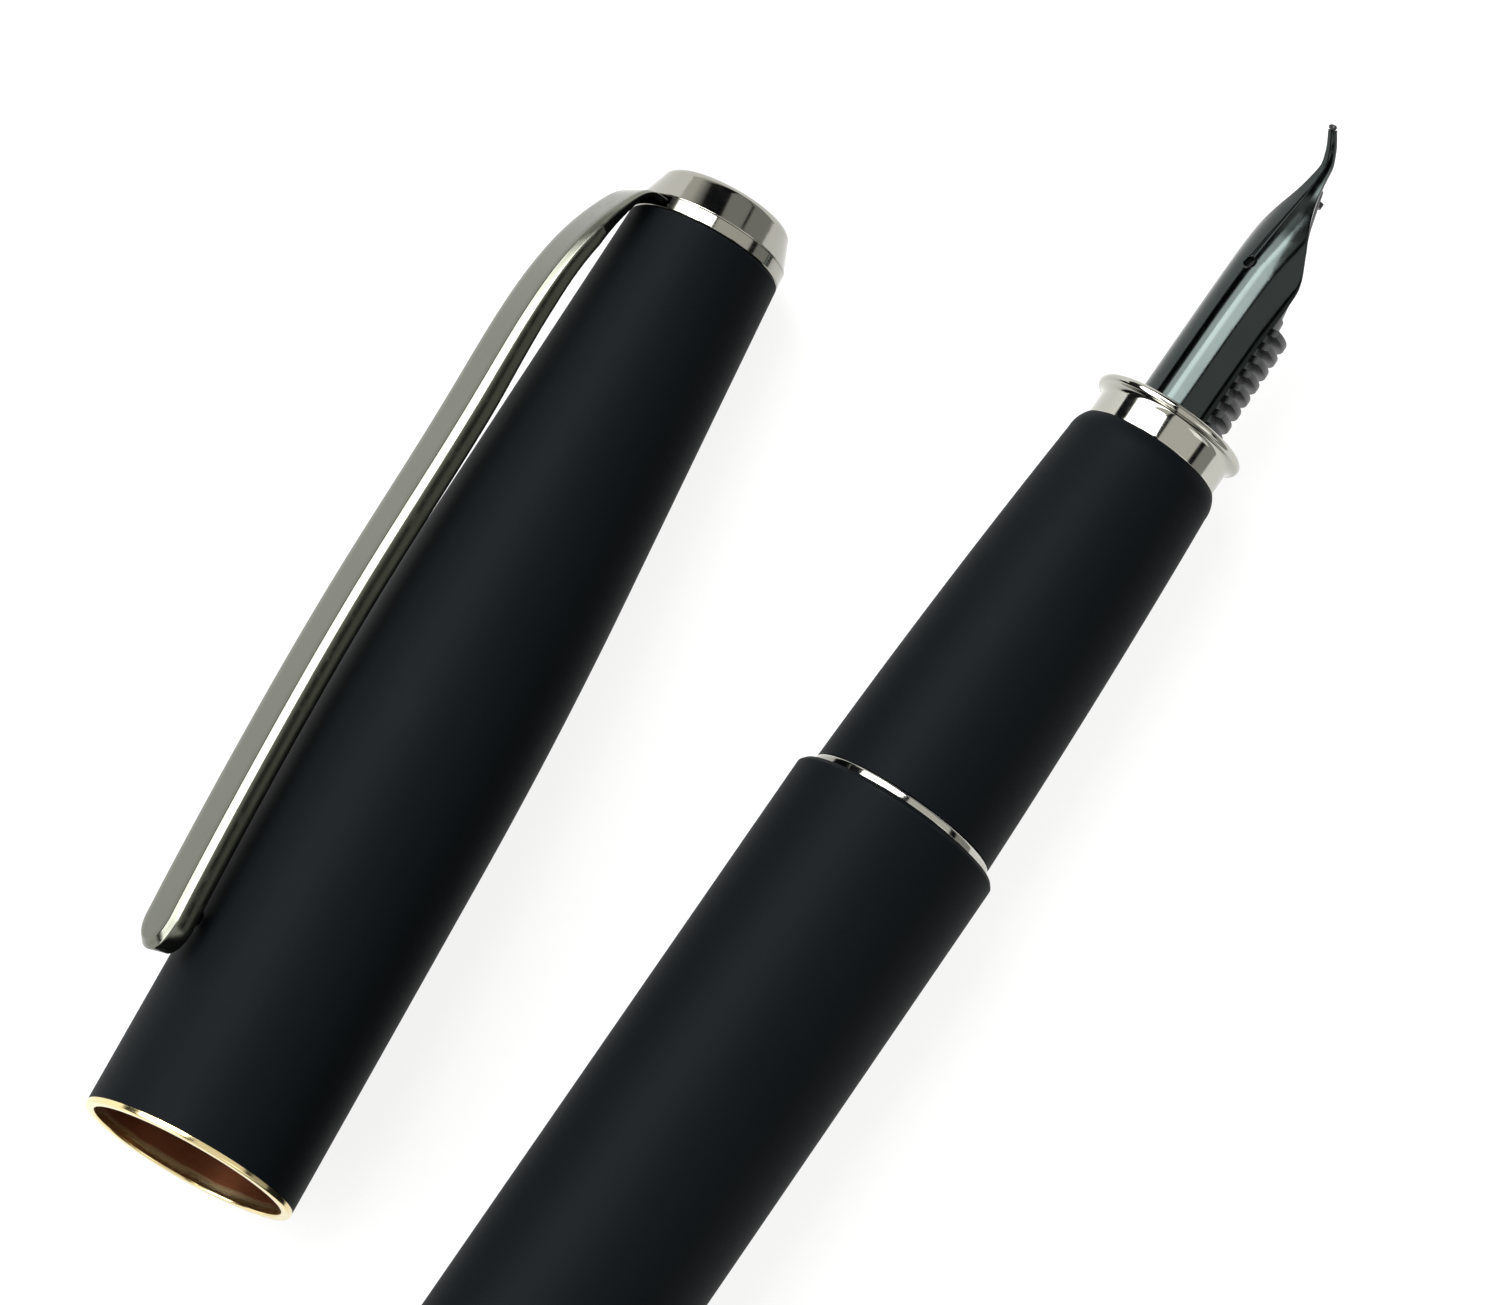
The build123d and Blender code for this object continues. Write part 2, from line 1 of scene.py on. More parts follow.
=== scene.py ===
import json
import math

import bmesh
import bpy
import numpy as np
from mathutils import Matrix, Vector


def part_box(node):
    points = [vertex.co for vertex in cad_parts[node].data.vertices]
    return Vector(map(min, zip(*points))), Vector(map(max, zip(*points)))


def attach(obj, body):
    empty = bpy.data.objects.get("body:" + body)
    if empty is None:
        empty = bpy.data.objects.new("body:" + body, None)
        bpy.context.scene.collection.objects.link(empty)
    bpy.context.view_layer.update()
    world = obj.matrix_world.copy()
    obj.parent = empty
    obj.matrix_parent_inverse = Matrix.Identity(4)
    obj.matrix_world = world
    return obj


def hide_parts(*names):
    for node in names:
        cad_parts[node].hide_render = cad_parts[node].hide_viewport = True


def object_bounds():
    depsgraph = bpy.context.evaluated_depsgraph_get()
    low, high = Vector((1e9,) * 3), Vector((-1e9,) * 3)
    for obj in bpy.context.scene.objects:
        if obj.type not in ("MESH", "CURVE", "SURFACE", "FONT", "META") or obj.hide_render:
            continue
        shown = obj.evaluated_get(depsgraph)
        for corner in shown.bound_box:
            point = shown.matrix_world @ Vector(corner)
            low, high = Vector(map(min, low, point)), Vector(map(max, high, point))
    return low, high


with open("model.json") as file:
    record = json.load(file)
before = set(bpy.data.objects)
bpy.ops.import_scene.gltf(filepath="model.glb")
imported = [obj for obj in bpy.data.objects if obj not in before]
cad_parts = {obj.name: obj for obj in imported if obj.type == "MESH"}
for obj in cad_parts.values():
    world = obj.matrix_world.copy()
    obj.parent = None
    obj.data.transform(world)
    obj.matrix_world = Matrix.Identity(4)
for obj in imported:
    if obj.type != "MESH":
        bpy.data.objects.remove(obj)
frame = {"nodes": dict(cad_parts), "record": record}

# %% [markdown]
# # A fountain pen beside its cap
#
# The pen lies uncapped on a white table with its cap beside it. Both are turned metal tubes under a
# matt black lacquer that feels a little rubbery. The fittings are plated: a clip, a finial, a ring
# where the barrel meets the grip, and a flared collar round the nib. The solid model gives every
# size. This lesson gives the visible parts the small roundings, threads and finishes that a solid
# model leaves out, and each new part stays exactly where its solid was.

cad_low, cad_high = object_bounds()
record = frame["record"]
print("parts in the solid model:", len(frame["nodes"]))
print("box in mm:", [round(1000 * (b - a), 2) for a, b in zip(cad_low, cad_high)])

# %% [markdown]
# ## Measuring from the axis
#
# Nearly every part of a pen is turned about a line, so it is easiest to draw it in distances along
# that line and out from it. A place is a matrix that takes such millimetres into the shared frame:
# X across, Y along the axis towards the nib or the finial, Z up. The pen's axis is read off the
# barrel. The cap's axis is the axis of its mouth. The nib and the clip share those axes, but their
# own up is rolled to the left, so each has a place of its own.

# %% Places on the pen and on the cap
MM = 0.001


def place_at(origin, along, up):
    y = along.normalized()
    x = y.cross(up).normalized()
    z = x.cross(y)
    turn = Matrix((x, y, z)).transposed().to_4x4()
    return Matrix.Translation(origin) @ turn @ Matrix.Scale(MM, 4)


barrel_low, barrel_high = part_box("barrel_tube")
pen_middle = (barrel_low + barrel_high) / 2
pen_origin = Vector((pen_middle.x, barrel_high.y, pen_middle.z))
pen_along = Vector((0, 1, 0))
pen = place_at(pen_origin, pen_along, Vector((0, 0, 1)))
nib_roll = math.radians(45)
nib_place = place_at(pen_origin, pen_along, Vector((-math.sin(nib_roll), 0, math.cos(nib_roll))))

mounts = {m["name"]: m for m in record["mounts"]}
cap_origin = Vector(mounts["cap_mouth"]["pos_m"])
cap_along = -Vector(mounts["cap_mouth"]["axis"])
cap = place_at(cap_origin, cap_along, Vector((0, 0, 1)))
clip_place = place_at(cap_origin, cap_along, Vector(mounts["clip_grip"]["axis"]))
print("pen axis at", [round(v / MM, 2) for v in pen_origin], "mm")
print("cap lip at", [round(v / MM, 2) for v in cap_origin], "mm")

# %% [markdown]
# ## The camera
#
# A small thing fills the picture from over half a metre away through a long lens, so the two tubes
# stay nearly parallel. The camera looks down steeply and is rolled, which sets the pen on the
# diagonal with its nib at the top right and its barrel running out of the bottom of the picture.

# %% Camera
azimuth, elevation, roll = math.radians(-9.71), math.radians(78.23), math.radians(44.69)
back = Vector((math.sin(azimuth) * math.cos(elevation), -math.cos(azimuth) * math.cos(elevation),
               math.sin(elevation)))
right = Vector((math.cos(azimuth), math.sin(azimuth), 0))
above = back.cross(right)
picture_x = right * math.cos(roll) + above * math.sin(roll)
picture_y = above * math.cos(roll) - right * math.sin(roll)
camera = bpy.data.objects.new("camera", bpy.data.cameras.new("camera"))
camera.data.lens = 240
camera.data.sensor_width = 36
camera.data.clip_start = 0.01
camera.location = back * 0.5663 + picture_x * 0.01237 + picture_y * 0.01327
camera.rotation_mode = "QUATERNION"
camera.rotation_quaternion = Matrix((picture_x, picture_y, back)).transposed().to_quaternion()
bpy.context.collection.objects.link(camera)
bpy.context.scene.camera = camera
print("camera is", round(camera.location.length * 1000), "mm from the middle of the frame")

# %% [markdown]
# ## The table and the light
#
# Polished metal shows the room and hardly any colour of its own, so a pen is lit by what stands
# round it. The table is a white sheet that glows a little, as a light table does, which keeps the
# shadows faint. The room is painted on the world: beige-grey walls cut by narrow dark strips that
# run along the pen. The strips are what draws the thin black lines down the collar and the finial.
# One long soft light above and to the left puts the bright line on the clip's edge.

# %% Small helpers for node trees
def add(tree, kind, inputs=None, **settings):
    node = tree.nodes.new(kind)
    for key, value in settings.items():
        setattr(node, key, value)
    for key, value in (inputs or {}).items():
        if isinstance(value, bpy.types.NodeSocket):
            tree.links.new(value, node.inputs[key])
        else:
            node.inputs[key].default_value = value
    return node


def maths(tree, operation, a, b=0.0, c=0.0, clamp=False):
    node = add(tree, "ShaderNodeMath", {0: a, 1: b, 2: c}, operation=operation, use_clamp=clamp)
    return node.outputs[0]


def spread(tree, value, low, high, to_low, to_high):
    """Value moved from one range to another, and held inside it."""
    node = add(tree, "ShaderNodeMapRange",
               {"Value": value, "From Min": low, "From Max": high, "To Min": to_low, "To Max": to_high})
    return node.outputs["Result"]


def mixed(tree, factor, a, b):
    """Colour a where factor is 0 and colour b where it is 1."""
    node = add(tree, "ShaderNodeMix", {"Factor": factor}, data_type="RGBA")
    for socket, value in ((node.inputs[6], a), (node.inputs[7], b)):
        if isinstance(value, bpy.types.NodeSocket):
            tree.links.new(value, socket)
        else:
            socket.default_value = (*value, 1)
    return node.outputs[2]


# %% The room, painted on the world by the angle round the pen
world = bpy.data.worlds.new("room")
bpy.context.scene.world = world
world.use_nodes = True
room = world.node_tree
room.nodes.clear()
direction = add(room, "ShaderNodeTexCoord").outputs["Generated"]
parts = add(room, "ShaderNodeSeparateXYZ", {"Vector": direction})
angle = maths(room, "ARCTAN2", parts.outputs["X"], parts.outputs["Z"])
position = spread(room, angle, -math.pi, math.pi, 0.0, 1.0)
wall, dim, strip, bright = (0.86, 0.845, 0.80), (0.42, 0.42, 0.40), (0.008, 0.009, 0.011), (6.0, 6.0, 5.9)


def painted(bands):
    """A ramp round the pen: degrees from straight up, positive to the right, and the paint there."""
    walls = add(room, "ShaderNodeValToRGB", {"Fac": position})
    elements = walls.color_ramp.elements
    while len(elements) < len(bands):
        elements.new(1.0)
    for element, (degrees, paint) in zip(elements, bands):
        element.position = (degrees + 180) / 360
        element.color = (*paint, 1)
    return walls.outputs["Color"]


beside = painted([(-180, dim), (-92, dim), (-89, strip), (-70, strip), (-67, bright), (-42, bright),
                  (-36, wall), (-15, wall), (-14, strip), (-7, strip), (-6, wall), (52, wall), (54, strip),
                  (62, strip), (64, dim), (180, dim)])
ahead = painted([(-180, wall), (-75, wall), (-52, strip), (-14, strip), (-11, dim), (34, dim), (36, strip),
                 (40, strip), (42, dim), (180, dim)])
# The room's end wall, beyond the nib and the finial, is painted on its own.
end_wall = spread(room, parts.outputs["Y"], 0.44, 0.50, 0.0, 1.0)
background = add(room, "ShaderNodeBackground", {"Color": mixed(room, end_wall, beside, ahead)})
add(room, "ShaderNodeOutputWorld", {"Surface": background.outputs["Background"]})
bpy.context.scene.view_settings.view_transform = "Standard"
print("ramps painted on the room:", 2)


# %% The table
def table_finish():
    material = bpy.data.materials.new("white_sheet")
    material.use_nodes = True
    tree = material.node_tree
    tree.nodes.clear()
    place = add(tree, "ShaderNodeTexCoord").outputs["Object"]
    grain = add(tree, "ShaderNodeTexNoise", {"Vector": place, "Scale": 900.0, "Detail": 4.0})
    colour = mixed(tree, grain.outputs["Fac"], (0.23, 0.23, 0.23), (0.25, 0.25, 0.25))
    surface = add(tree, "ShaderNodeBsdfPrincipled", {"Base Color": colour, "Roughness": 0.9,
                                                     "Emission Color": (1, 1, 1, 1),
                                                     "Emission Strength": 0.80})
    add(tree, "ShaderNodeOutputMaterial", {"Surface": surface.outputs["BSDF"]})
    return material


table_mesh = bpy.data.meshes.new("table")
reach = 1.6
table_mesh.from_pydata([(-reach, -reach, 0), (reach, -reach, 0), (reach, reach, 0), (-reach, reach, 0)],
                       [], [(0, 1, 2, 3)])
table = bpy.data.objects.new("table", table_mesh)
table.location.z = cad_low.z - 0.00002
bpy.context.collection.objects.link(table)
table_mesh.materials.append(table_finish())


# %% The soft lights
def soft_light(name, position, size, power, tint=(1, 1, 1)):
    lamp = bpy.data.lights.new(name, "AREA")
    lamp.shape = "RECTANGLE"
    lamp.size, lamp.size_y = size
    lamp.energy = power
    lamp.color = tint
    holder = bpy.data.objects.new(name, lamp)
    holder.location = position
    holder.rotation_mode = "QUATERNION"
    holder.rotation_quaternion = Vector(position).to_track_quat("Z", "Y")
    bpy.context.collection.objects.link(holder)
    return holder


soft_light("key_light", (-0.55, 0.25, 0.85), (0.5, 0.7), 9.0)
soft_light("fill_light", (0.9, -0.5, 0.8), (0.8, 0.8), 2.0)

# %% [markdown]
# ## Turning a part
#
# A lathe cuts a profile and spins it round the axis, and the helper below does the same. The
# profile is a closed list of points: distance along the axis, then radius. A third number rounds a
# corner, because no real edge is perfectly sharp, and the rounding is what catches a line of light.
# The points on a rounding are also marked as edges, so that a finish can show a little wear there.

# %% Profiles with arcs and rounded corners
def arc(a, b, c, count=10):
    """Points of the circle through a, b and c, from a to c."""
    (ax, ay), (bx, by), (cx, cy) = a, b, c
    d = 2 * (ax * (by - cy) + bx * (cy - ay) + cx * (ay - by))
    a_square, b_square, c_square = ax * ax + ay * ay, bx * bx + by * by, cx * cx + cy * cy
    ux = (a_square * (by - cy) + b_square * (cy - ay) + c_square * (ay - by)) / d
    uy = (a_square * (cx - bx) + b_square * (ax - cx) + c_square * (bx - ax)) / d
    radius = math.hypot(ax - ux, ay - uy)
    start, middle, end = (math.atan2(y - uy, x - ux) for x, y in (a, b, c))
    whole_turn = 2 * math.pi
    sweep = (end - start) % whole_turn
    if (middle - start) % whole_turn > sweep:
        sweep -= whole_turn
    angles = [start + sweep * i / count for i in range(count + 1)]
    return [(ux + radius * math.cos(angle_here), uy + radius * math.sin(angle_here)) for angle_here in angles]


def bow(a, c, count=10):
    """Points of the circle that leaves a parallel to the axis and ends at c."""
    (ax, ay), (cx, cy) = a, c
    rise = ((cx - ax) ** 2 + (cy - ay) ** 2) / (2 * (cy - ay))
    half = math.atan2(abs(cx - ax), abs(rise) - abs(cy - ay)) / 2
    side = math.copysign(1, cx - ax)
    middle = (ax + side * abs(rise) * math.sin(half), ay + rise * (1 - math.cos(half)))
    return arc(a, middle, c, count)


def rounded(points):
    """(along, radius, edge) for each point, with the corners that ask for it rounded."""
    made = []
    for i, point in enumerate(points):
        here = np.array(point[:2], float)
        fillet = point[2] if len(point) > 2 else 0
        if not fillet:
            made.append((*here, 0.0))
            continue
        before = np.array(points[i - 1][:2], float) - here
        after = np.array(points[(i + 1) % len(points)][:2], float) - here
        to_before, to_after = before / np.linalg.norm(before), after / np.linalg.norm(after)
        half = math.acos(float(np.clip(to_before @ to_after, -1, 1))) / 2
        cut = min(fillet / math.tan(half), np.linalg.norm(before) * 0.45, np.linalg.norm(after) * 0.45)
        first, last = here + to_before * cut, here + to_after * cut
        bisector = (to_before + to_after) / np.linalg.norm(to_before + to_after)
        middle = here + bisector * (cut / math.cos(half) - cut * math.tan(half))
        reach_in = 0.5 * fillet
        if np.linalg.norm(before) * 0.5 > cut + reach_in:
            made.append((*(here + to_before * (cut + reach_in)), 0.0))
        made += [(*p, 1.0) for p in arc(tuple(first), tuple(middle), tuple(last), 5)]
        if np.linalg.norm(after) * 0.5 > cut + reach_in:
            made.append((*(here + to_after * (cut + reach_in)), 0.0))
    return made


# %% The lathe
def finished(name, mesh, place, edges=None, sharp=35):
    """A new object at the origin, with its place in its mesh, smooth but for its sharp corners."""
    mesh.transform(place)
    if edges is not None:
        mark = mesh.attributes.new("edge", "FLOAT", "POINT")
        mark.data.foreach_set("value", np.asarray(edges, np.float32))
    made = bmesh.new()
    made.from_mesh(mesh)
    bmesh.ops.remove_doubles(made, verts=made.verts, dist=1e-8)
    bmesh.ops.recalc_face_normals(made, faces=made.faces)
    made.to_mesh(mesh)
    made.free()
    mesh.shade_smooth()
    mesh.set_sharp_from_angle(angle=math.radians(sharp))
    piece = bpy.data.objects.new(name, mesh)
    bpy.context.collection.objects.link(piece)
    return piece


def turned(name, place, profile, steps=160, wave=None):
    """Spins a closed profile about the axis. wave(along, radius, angle) may shift each point."""
    points = rounded(profile)
    verts, edges, rings = [], [], []
    angles = np.arange(steps) * 2 * math.pi / steps
    for along, radius, edge in points:
        if radius < 1e-6:
            rings.append([len(verts)] * steps)
            verts.append((0, along, 0))
            edges.append(edge)
            continue
        rings.append(list(range(len(verts), len(verts) + steps)))
        for a in angles:
            y, r = wave(along, radius, a) if wave else (along, radius)
            verts.append((r * math.sin(a), y, r * math.cos(a)))
        edges += [edge] * steps
    faces = []
    for i, low in enumerate(rings):
        high = rings[(i + 1) % len(rings)]
        if low[0] == low[1] and high[0] == high[1]:
            continue
        for k in range(steps):
            n = (k + 1) % steps
            corners = [low[k], low[n], high[n], high[k]]
            face = [c for j, c in enumerate(corners) if c != corners[j - 1]]
            if len(face) > 2:
                faces.append(face)
    mesh = bpy.data.meshes.new(name)
    mesh.from_pydata(verts, [], faces)
    return finished(name, mesh, place, edges)


# %% [markdown]
# ## Finishes
#
# Every finish is a small recipe of noise at the real scale, worked out in millimetres on the part
# itself. A Mapping node turns the pattern to the part's own axis, so that lathe marks run round the
# pen and polishing marks run along the nib. Colour, roughness and bump each get their own share of
# the noise. Constant values stay as numbers on the shader, where an export can keep them.

# %% A finish starts from millimetres on the part
def finish(name, place):
    """A new material: its tree, the part's own millimetres and how near each point is to an edge."""
    material = bpy.data.materials.new(name)
    material.use_nodes = True
    tree = material.node_tree
    tree.nodes.clear()
    coordinates = add(tree, "ShaderNodeTexCoord").outputs["Object"]
    own = add(tree, "ShaderNodeMapping",
              {"Vector": coordinates, "Location": place.to_translation(), "Rotation": place.to_euler(),
               "Scale": (MM, MM, MM)}, vector_type="TEXTURE").outputs["Vector"]
    edge = add(tree, "ShaderNodeAttribute", attribute_name="edge").outputs["Fac"]
    return material, tree, own, edge


def noise(tree, own, scale, detail=3.0, stretch=(1, 1, 1), rough=0.5):
    """Noise with so many waves to the millimetre, stretched along the part's own axes."""
    across = add(tree, "ShaderNodeVectorMath", {0: own, 1: Vector(stretch) * scale}, operation="MULTIPLY")
    return add(tree, "ShaderNodeTexNoise", {"Vector": across.outputs[0], "Scale": 1.0, "Detail": detail,
                                            "Roughness": rough}).outputs["Fac"]


def bumped(tree, *layers):
    """Bumps laid one over another: each is its height field, how strong it is and how deep, in mm."""
    normal = None
    for height, strength, depth in layers:
        inputs = {"Height": height, "Strength": strength, "Distance": depth * MM}
        if normal is not None:
            inputs["Normal"] = normal
        normal = add(tree, "ShaderNodeBump", inputs).outputs["Normal"]
    return normal


def complete(tree, **inputs):
    """Joins the finished values to the shader and the shader to the output."""
    named = {key.replace("_", " "): value for key, value in inputs.items()}
    surface = add(tree, "ShaderNodeBsdfPrincipled", named)
    add(tree, "ShaderNodeOutputMaterial", {"Surface": surface.outputs["BSDF"]})
    return surface


# %% [markdown]
# ### Matt lacquer
#
# The tubes are sprayed with a blue-black coat that is dull to the eye and soft to the hand. Dust
# fine enough to scatter light is in the coat, so the highlight is one wide faint glow. Two bumps
# make it: a fine grain, and a slower unevenness from the spray. Handling polishes such a coat first
# at its edges, so the marked roundings are a touch smoother and paler.

# %% Lacquer
def lacquer(name, place):
    material, tree, own, edge = finish(name, place)
    cloud = noise(tree, own, 0.12, 2.0)
    grain = noise(tree, own, 11.0, 4.0, rough=0.7)
    spray = noise(tree, own, 0.9, 2.0)
    rubbed = noise(tree, own, 0.35, 5.0, stretch=(1, 0.35, 1), rough=0.65)
    tone = mixed(tree, cloud, (0.0022, 0.0033, 0.0043), (0.0030, 0.0043, 0.0054))
    tone = mixed(tree, spread(tree, grain, 0.35, 0.7, 0.0, 0.35), tone, (0.0046, 0.0060, 0.0071))
    worn = maths(tree, "MULTIPLY", edge, spread(tree, rubbed, 0.45, 0.65, 0.05, 0.55))
    tone = mixed(tree, worn, tone, (0.010, 0.0112, 0.0122))
    dull = spread(tree, grain, 0.3, 0.7, 0.50, 0.62)
    dull = maths(tree, "SUBTRACT", dull, spread(tree, rubbed, 0.55, 0.75, 0.0, 0.05))
    dull = maths(tree, "SUBTRACT", dull, maths(tree, "MULTIPLY", worn, 0.25))
    complete(tree, Base_Color=tone, Roughness=dull, IOR=1.45, Specular_IOR_Level=0.05,
             Normal=bumped(tree, (spray, 0.10, 0.05), (grain, 0.30, 0.012)))
    return material


# %% [markdown]
# ### Plated and polished metal
#
# Plating is polished on a soft wheel while the part spins, which leaves hair-fine marks round it.
# The marks are noise stretched round the axis: fine along the pen, slow around it. A slow cloud
# changes the roughness a little, as fingers do, and the edges are polished brightest of all.

# %% Plated metal, with marks round or along the part
def plated(name, place, dark, light, rough=0.12, marks=(0.25, 14.0, 0.25), depth=0.0015, edge_tone=None):
    material, tree, own, edge = finish(name, place)
    cloud = noise(tree, own, 0.35, 3.0)
    hair = noise(tree, own, 1.0, 5.0, stretch=marks, rough=0.6)
    touch = noise(tree, own, 1.3, 4.0, rough=0.6)
    tone = mixed(tree, cloud, dark, light)
    if edge_tone:
        tone = mixed(tree, maths(tree, "MULTIPLY", edge, 0.6), tone, edge_tone)
    gloss = spread(tree, hair, 0.3, 0.7, rough * 0.8, rough * 1.25)
    gloss = maths(tree, "ADD", gloss, spread(tree, touch, 0.5, 0.75, 0.0, rough * 0.6))
    complete(tree, Base_Color=tone, Metallic=1.0, Roughness=gloss,
             Normal=bumped(tree, (touch, 0.05, 0.01), (hair, 0.25, depth)))
    return material


# %% [markdown]
# ### Moulded plastic and rubber
#
# The feed, the section's core and the converter are injection moulded. A moulded skin copies the
# tool it was shaped in: a very fine grain, and slow flow marks where the plastic ran. Rubber seals
# are duller and a little dusty.

# %% Moulded parts
def moulded(name, place, dark, light, rough=0.36, grain_scale=9.0, transmission=0.0):
    material, tree, own, edge = finish(name, place)
    flow = noise(tree, own, 0.5, 3.0, stretch=(1, 0.3, 1))
    grain = noise(tree, own, grain_scale, 3.0)
    tone = mixed(tree, flow, dark, light)
    gloss = spread(tree, grain, 0.3, 0.7, rough * 0.85, rough * 1.2)
    complete(tree, Base_Color=tone, Roughness=gloss, IOR=1.5, Transmission_Weight=transmission,
             Normal=bumped(tree, (flow, 0.06, 0.02), (grain, 0.22, 0.006)))
    return material


# %% One finish for each slot of the record, on each axis that needs it
long_marks = (12.0, 0.22, 12.0)
finishes = {
    "lacquer_pen": lacquer("lacquer_pen", pen),
    "lacquer_cap": lacquer("lacquer_cap", cap),
    "gunmetal_cap": plated("gunmetal_cap", cap, (0.325, 0.32, 0.285), (0.36, 0.352, 0.315), 0.10),
    "gunmetal_clip": plated("gunmetal_clip", clip_place, (0.117, 0.124, 0.097), (0.128, 0.135, 0.105), 0.17,
                            marks=long_marks, edge_tone=(0.20, 0.202, 0.18)),
    "gunmetal_pen": plated("gunmetal_pen", pen, (0.325, 0.32, 0.285), (0.36, 0.352, 0.315), 0.10),
    "nickel_pen": plated("nickel_pen", pen, (0.40, 0.395, 0.355), (0.44, 0.432, 0.39), 0.08,
                         edge_tone=(0.52, 0.515, 0.48)),
    "brass_pen": plated("brass_pen", pen, (0.62, 0.45, 0.20), (0.70, 0.53, 0.25), 0.24),
    "brass_cap": plated("brass_cap", cap, (0.62, 0.45, 0.20), (0.70, 0.53, 0.25), 0.24),
    "steel_pen": plated("steel_pen", pen, (0.50, 0.50, 0.49), (0.56, 0.56, 0.55), 0.26),
    "steel_cap": plated("steel_cap", cap, (0.50, 0.50, 0.49), (0.56, 0.56, 0.55), 0.26),
    "nib_steel": plated("nib_steel", nib_place, (0.034, 0.042, 0.041), (0.045, 0.055, 0.053), 0.10,
                        marks=long_marks, depth=0.003, edge_tone=(0.14, 0.15, 0.148)),
    "tipping": plated("tipping", nib_place, (0.035, 0.036, 0.038), (0.055, 0.056, 0.058), 0.30),
    "black_plastic_pen": moulded("black_plastic_pen", pen, (0.010, 0.011, 0.012), (0.015, 0.016, 0.017)),
    "black_plastic_cap": moulded("black_plastic_cap", cap, (0.010, 0.011, 0.012), (0.015, 0.016, 0.017)),
    "grey_plastic": moulded("grey_plastic", pen, (0.22, 0.225, 0.23), (0.27, 0.275, 0.28), 0.42),
    "clear_plastic": moulded("clear_plastic", pen, (0.90, 0.92, 0.93), (0.96, 0.97, 0.98), 0.08,
                             transmission=1.0),
    "converter_metal": plated("converter_metal", pen, (0.58, 0.58, 0.57), (0.64, 0.64, 0.63), 0.14),
    "rubber": moulded("rubber", pen, (0.014, 0.014, 0.014), (0.026, 0.025, 0.024), 0.68, 6.0),
}
print("finishes made:", len(finishes))

# %% Every solid of the model takes the finish of its slot
by_slot = {"black_lacquer": "lacquer", "gunmetal": "gunmetal", "nickel": "nickel", "brass": "brass",
           "steel": "steel", "nib_steel": "nib_steel", "tipping": "tipping", "black_plastic": "black_plastic",
           "clear_plastic": "clear_plastic", "grey_plastic": "grey_plastic",
           "converter_metal": "converter_metal", "rubber": "rubber"}
bodies = record["behaviour"]["bodies"]
body_of = {node: body for body, members in bodies.items() for node in members}
slot_of = {part["node"]: part["material_slot"] for part in record["subparts"]}


def finish_for(node):
    kind = by_slot[slot_of[node]]
    side = "cap" if body_of[node] in ("cap", "clip") else "pen"
    return finishes.get(f"{kind}_{side}") or finishes[kind]


for node, piece in frame["nodes"].items():
    piece.data.materials.clear()
    piece.data.materials.append(finish_for(node))
print("solids finished:", len(frame["nodes"]))


def stand_in(piece, node, material=None):
    """The piece takes the solid's place: its body and its finish."""
    piece.data.materials.clear()
    piece.data.materials.append(material or finish_for(node))
    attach(piece, body_of[node])
    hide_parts(node)
    print(f"{piece.name}: {len(piece.data.polygons)} faces")
    return piece


# %% [markdown]
# ## The barrel
#
# The barrel is a drawn brass tube under lacquer. It runs straight for 40 mm and then draws in along
# one long curve to the tail, where a plated button is screwed in. Its front edge is a small bevel.
# The inside matters too, because it shows when the barrel is unscrewed, so the profile goes all the
# way round the wall: outside, front face, thread seat, bore and tail.

# %% Barrel and tail button
tail_curve = bow((-40.0, 6.55), (-72.0, 4.9), 28)
barrel_profile = ([(-0.25, 6.55, 0.12), (0.0, 6.35, 0.08), (0.0, 5.2, 0.05), (-12.0, 5.2), (-12.0, 4.3),
                   (-68.5, 4.3), (-68.5, 3.0), (-72.0, 3.0)] + [(-72.0, 4.9, 0.06)] + tail_curve[-2:0:-1]
                  + [(-40.0, 6.55), (-20.0, 6.55)])
stand_in(turned("barrel", pen, barrel_profile, 192), "barrel_tube")

button_curve = bow((-72.82, 4.9), (-75.2, 3.0), 12)
button_profile = ([(-72.02, 1.52), (-72.02, 4.9, 0.06)] + button_curve[:-1]
                  + [(-75.2, 3.0, 0.12), (-75.2, 0.0), (-74.0, 0.0), (-74.0, 1.52)])
stand_in(turned("tail_cap", pen, button_profile), "tail_button")

# %% [markdown]
# ## The centre ring
#
# A washer of plated metal sits between the barrel and the grip. It is only 0.5 mm thick, and its two
# rounded corners turn it into a fine bright line.

# %% Centre ring
ring_profile = [(0.03, 4.66), (0.57, 4.66), (0.57, 5.85, 0.14), (0.03, 5.85, 0.14)]
stand_in(turned("middle_ring", pen, ring_profile, 192), "centre_ring")

# %% [markdown]
# ## The grip and its collar
#
# The grip tapers from 11.6 to 9.4 mm over 24 mm with a slight waist, then rolls over at its front
# edge. It is lacquered like the barrel. The collar in front of it is plated: a short cylinder, a
# hollow curve, and a lip that flares out to stop the fingers and keeps ink off them.

# %% Grip
grip_taper = arc((0.6, 5.8), (13.0, 5.37), (24.6, 4.70), 24)
grip_nose = arc((24.6, 4.70), (25.4, 4.56), (25.8, 4.33), 8)
grip_profile = ([(0.6, 5.8, 0.06)] + grip_taper[1:] + grip_nose[1:] + [(25.8, 3.67), (5.0, 3.67),
                (5.0, 4.62), (0.6, 4.62)])
stand_in(turned("grip", pen, grip_profile, 192), "section_grip")

# %% Collar
collar_hollow = arc((27.25, 4.22), (27.55, 4.34), (27.7, 4.64), 8)
collar_lip = arc((27.7, 4.64), (27.98, 4.74), (28.2, 4.49), 10)
collar_profile = ([(25.82, 3.67), (25.82, 4.22, 0.08)] + collar_hollow + collar_lip[1:]
                  + [(28.2, 3.92, 0.08), (28.1, 3.55), (27.75, 3.67)])
stand_in(turned("collar", pen, collar_profile, 192), "section_collar")

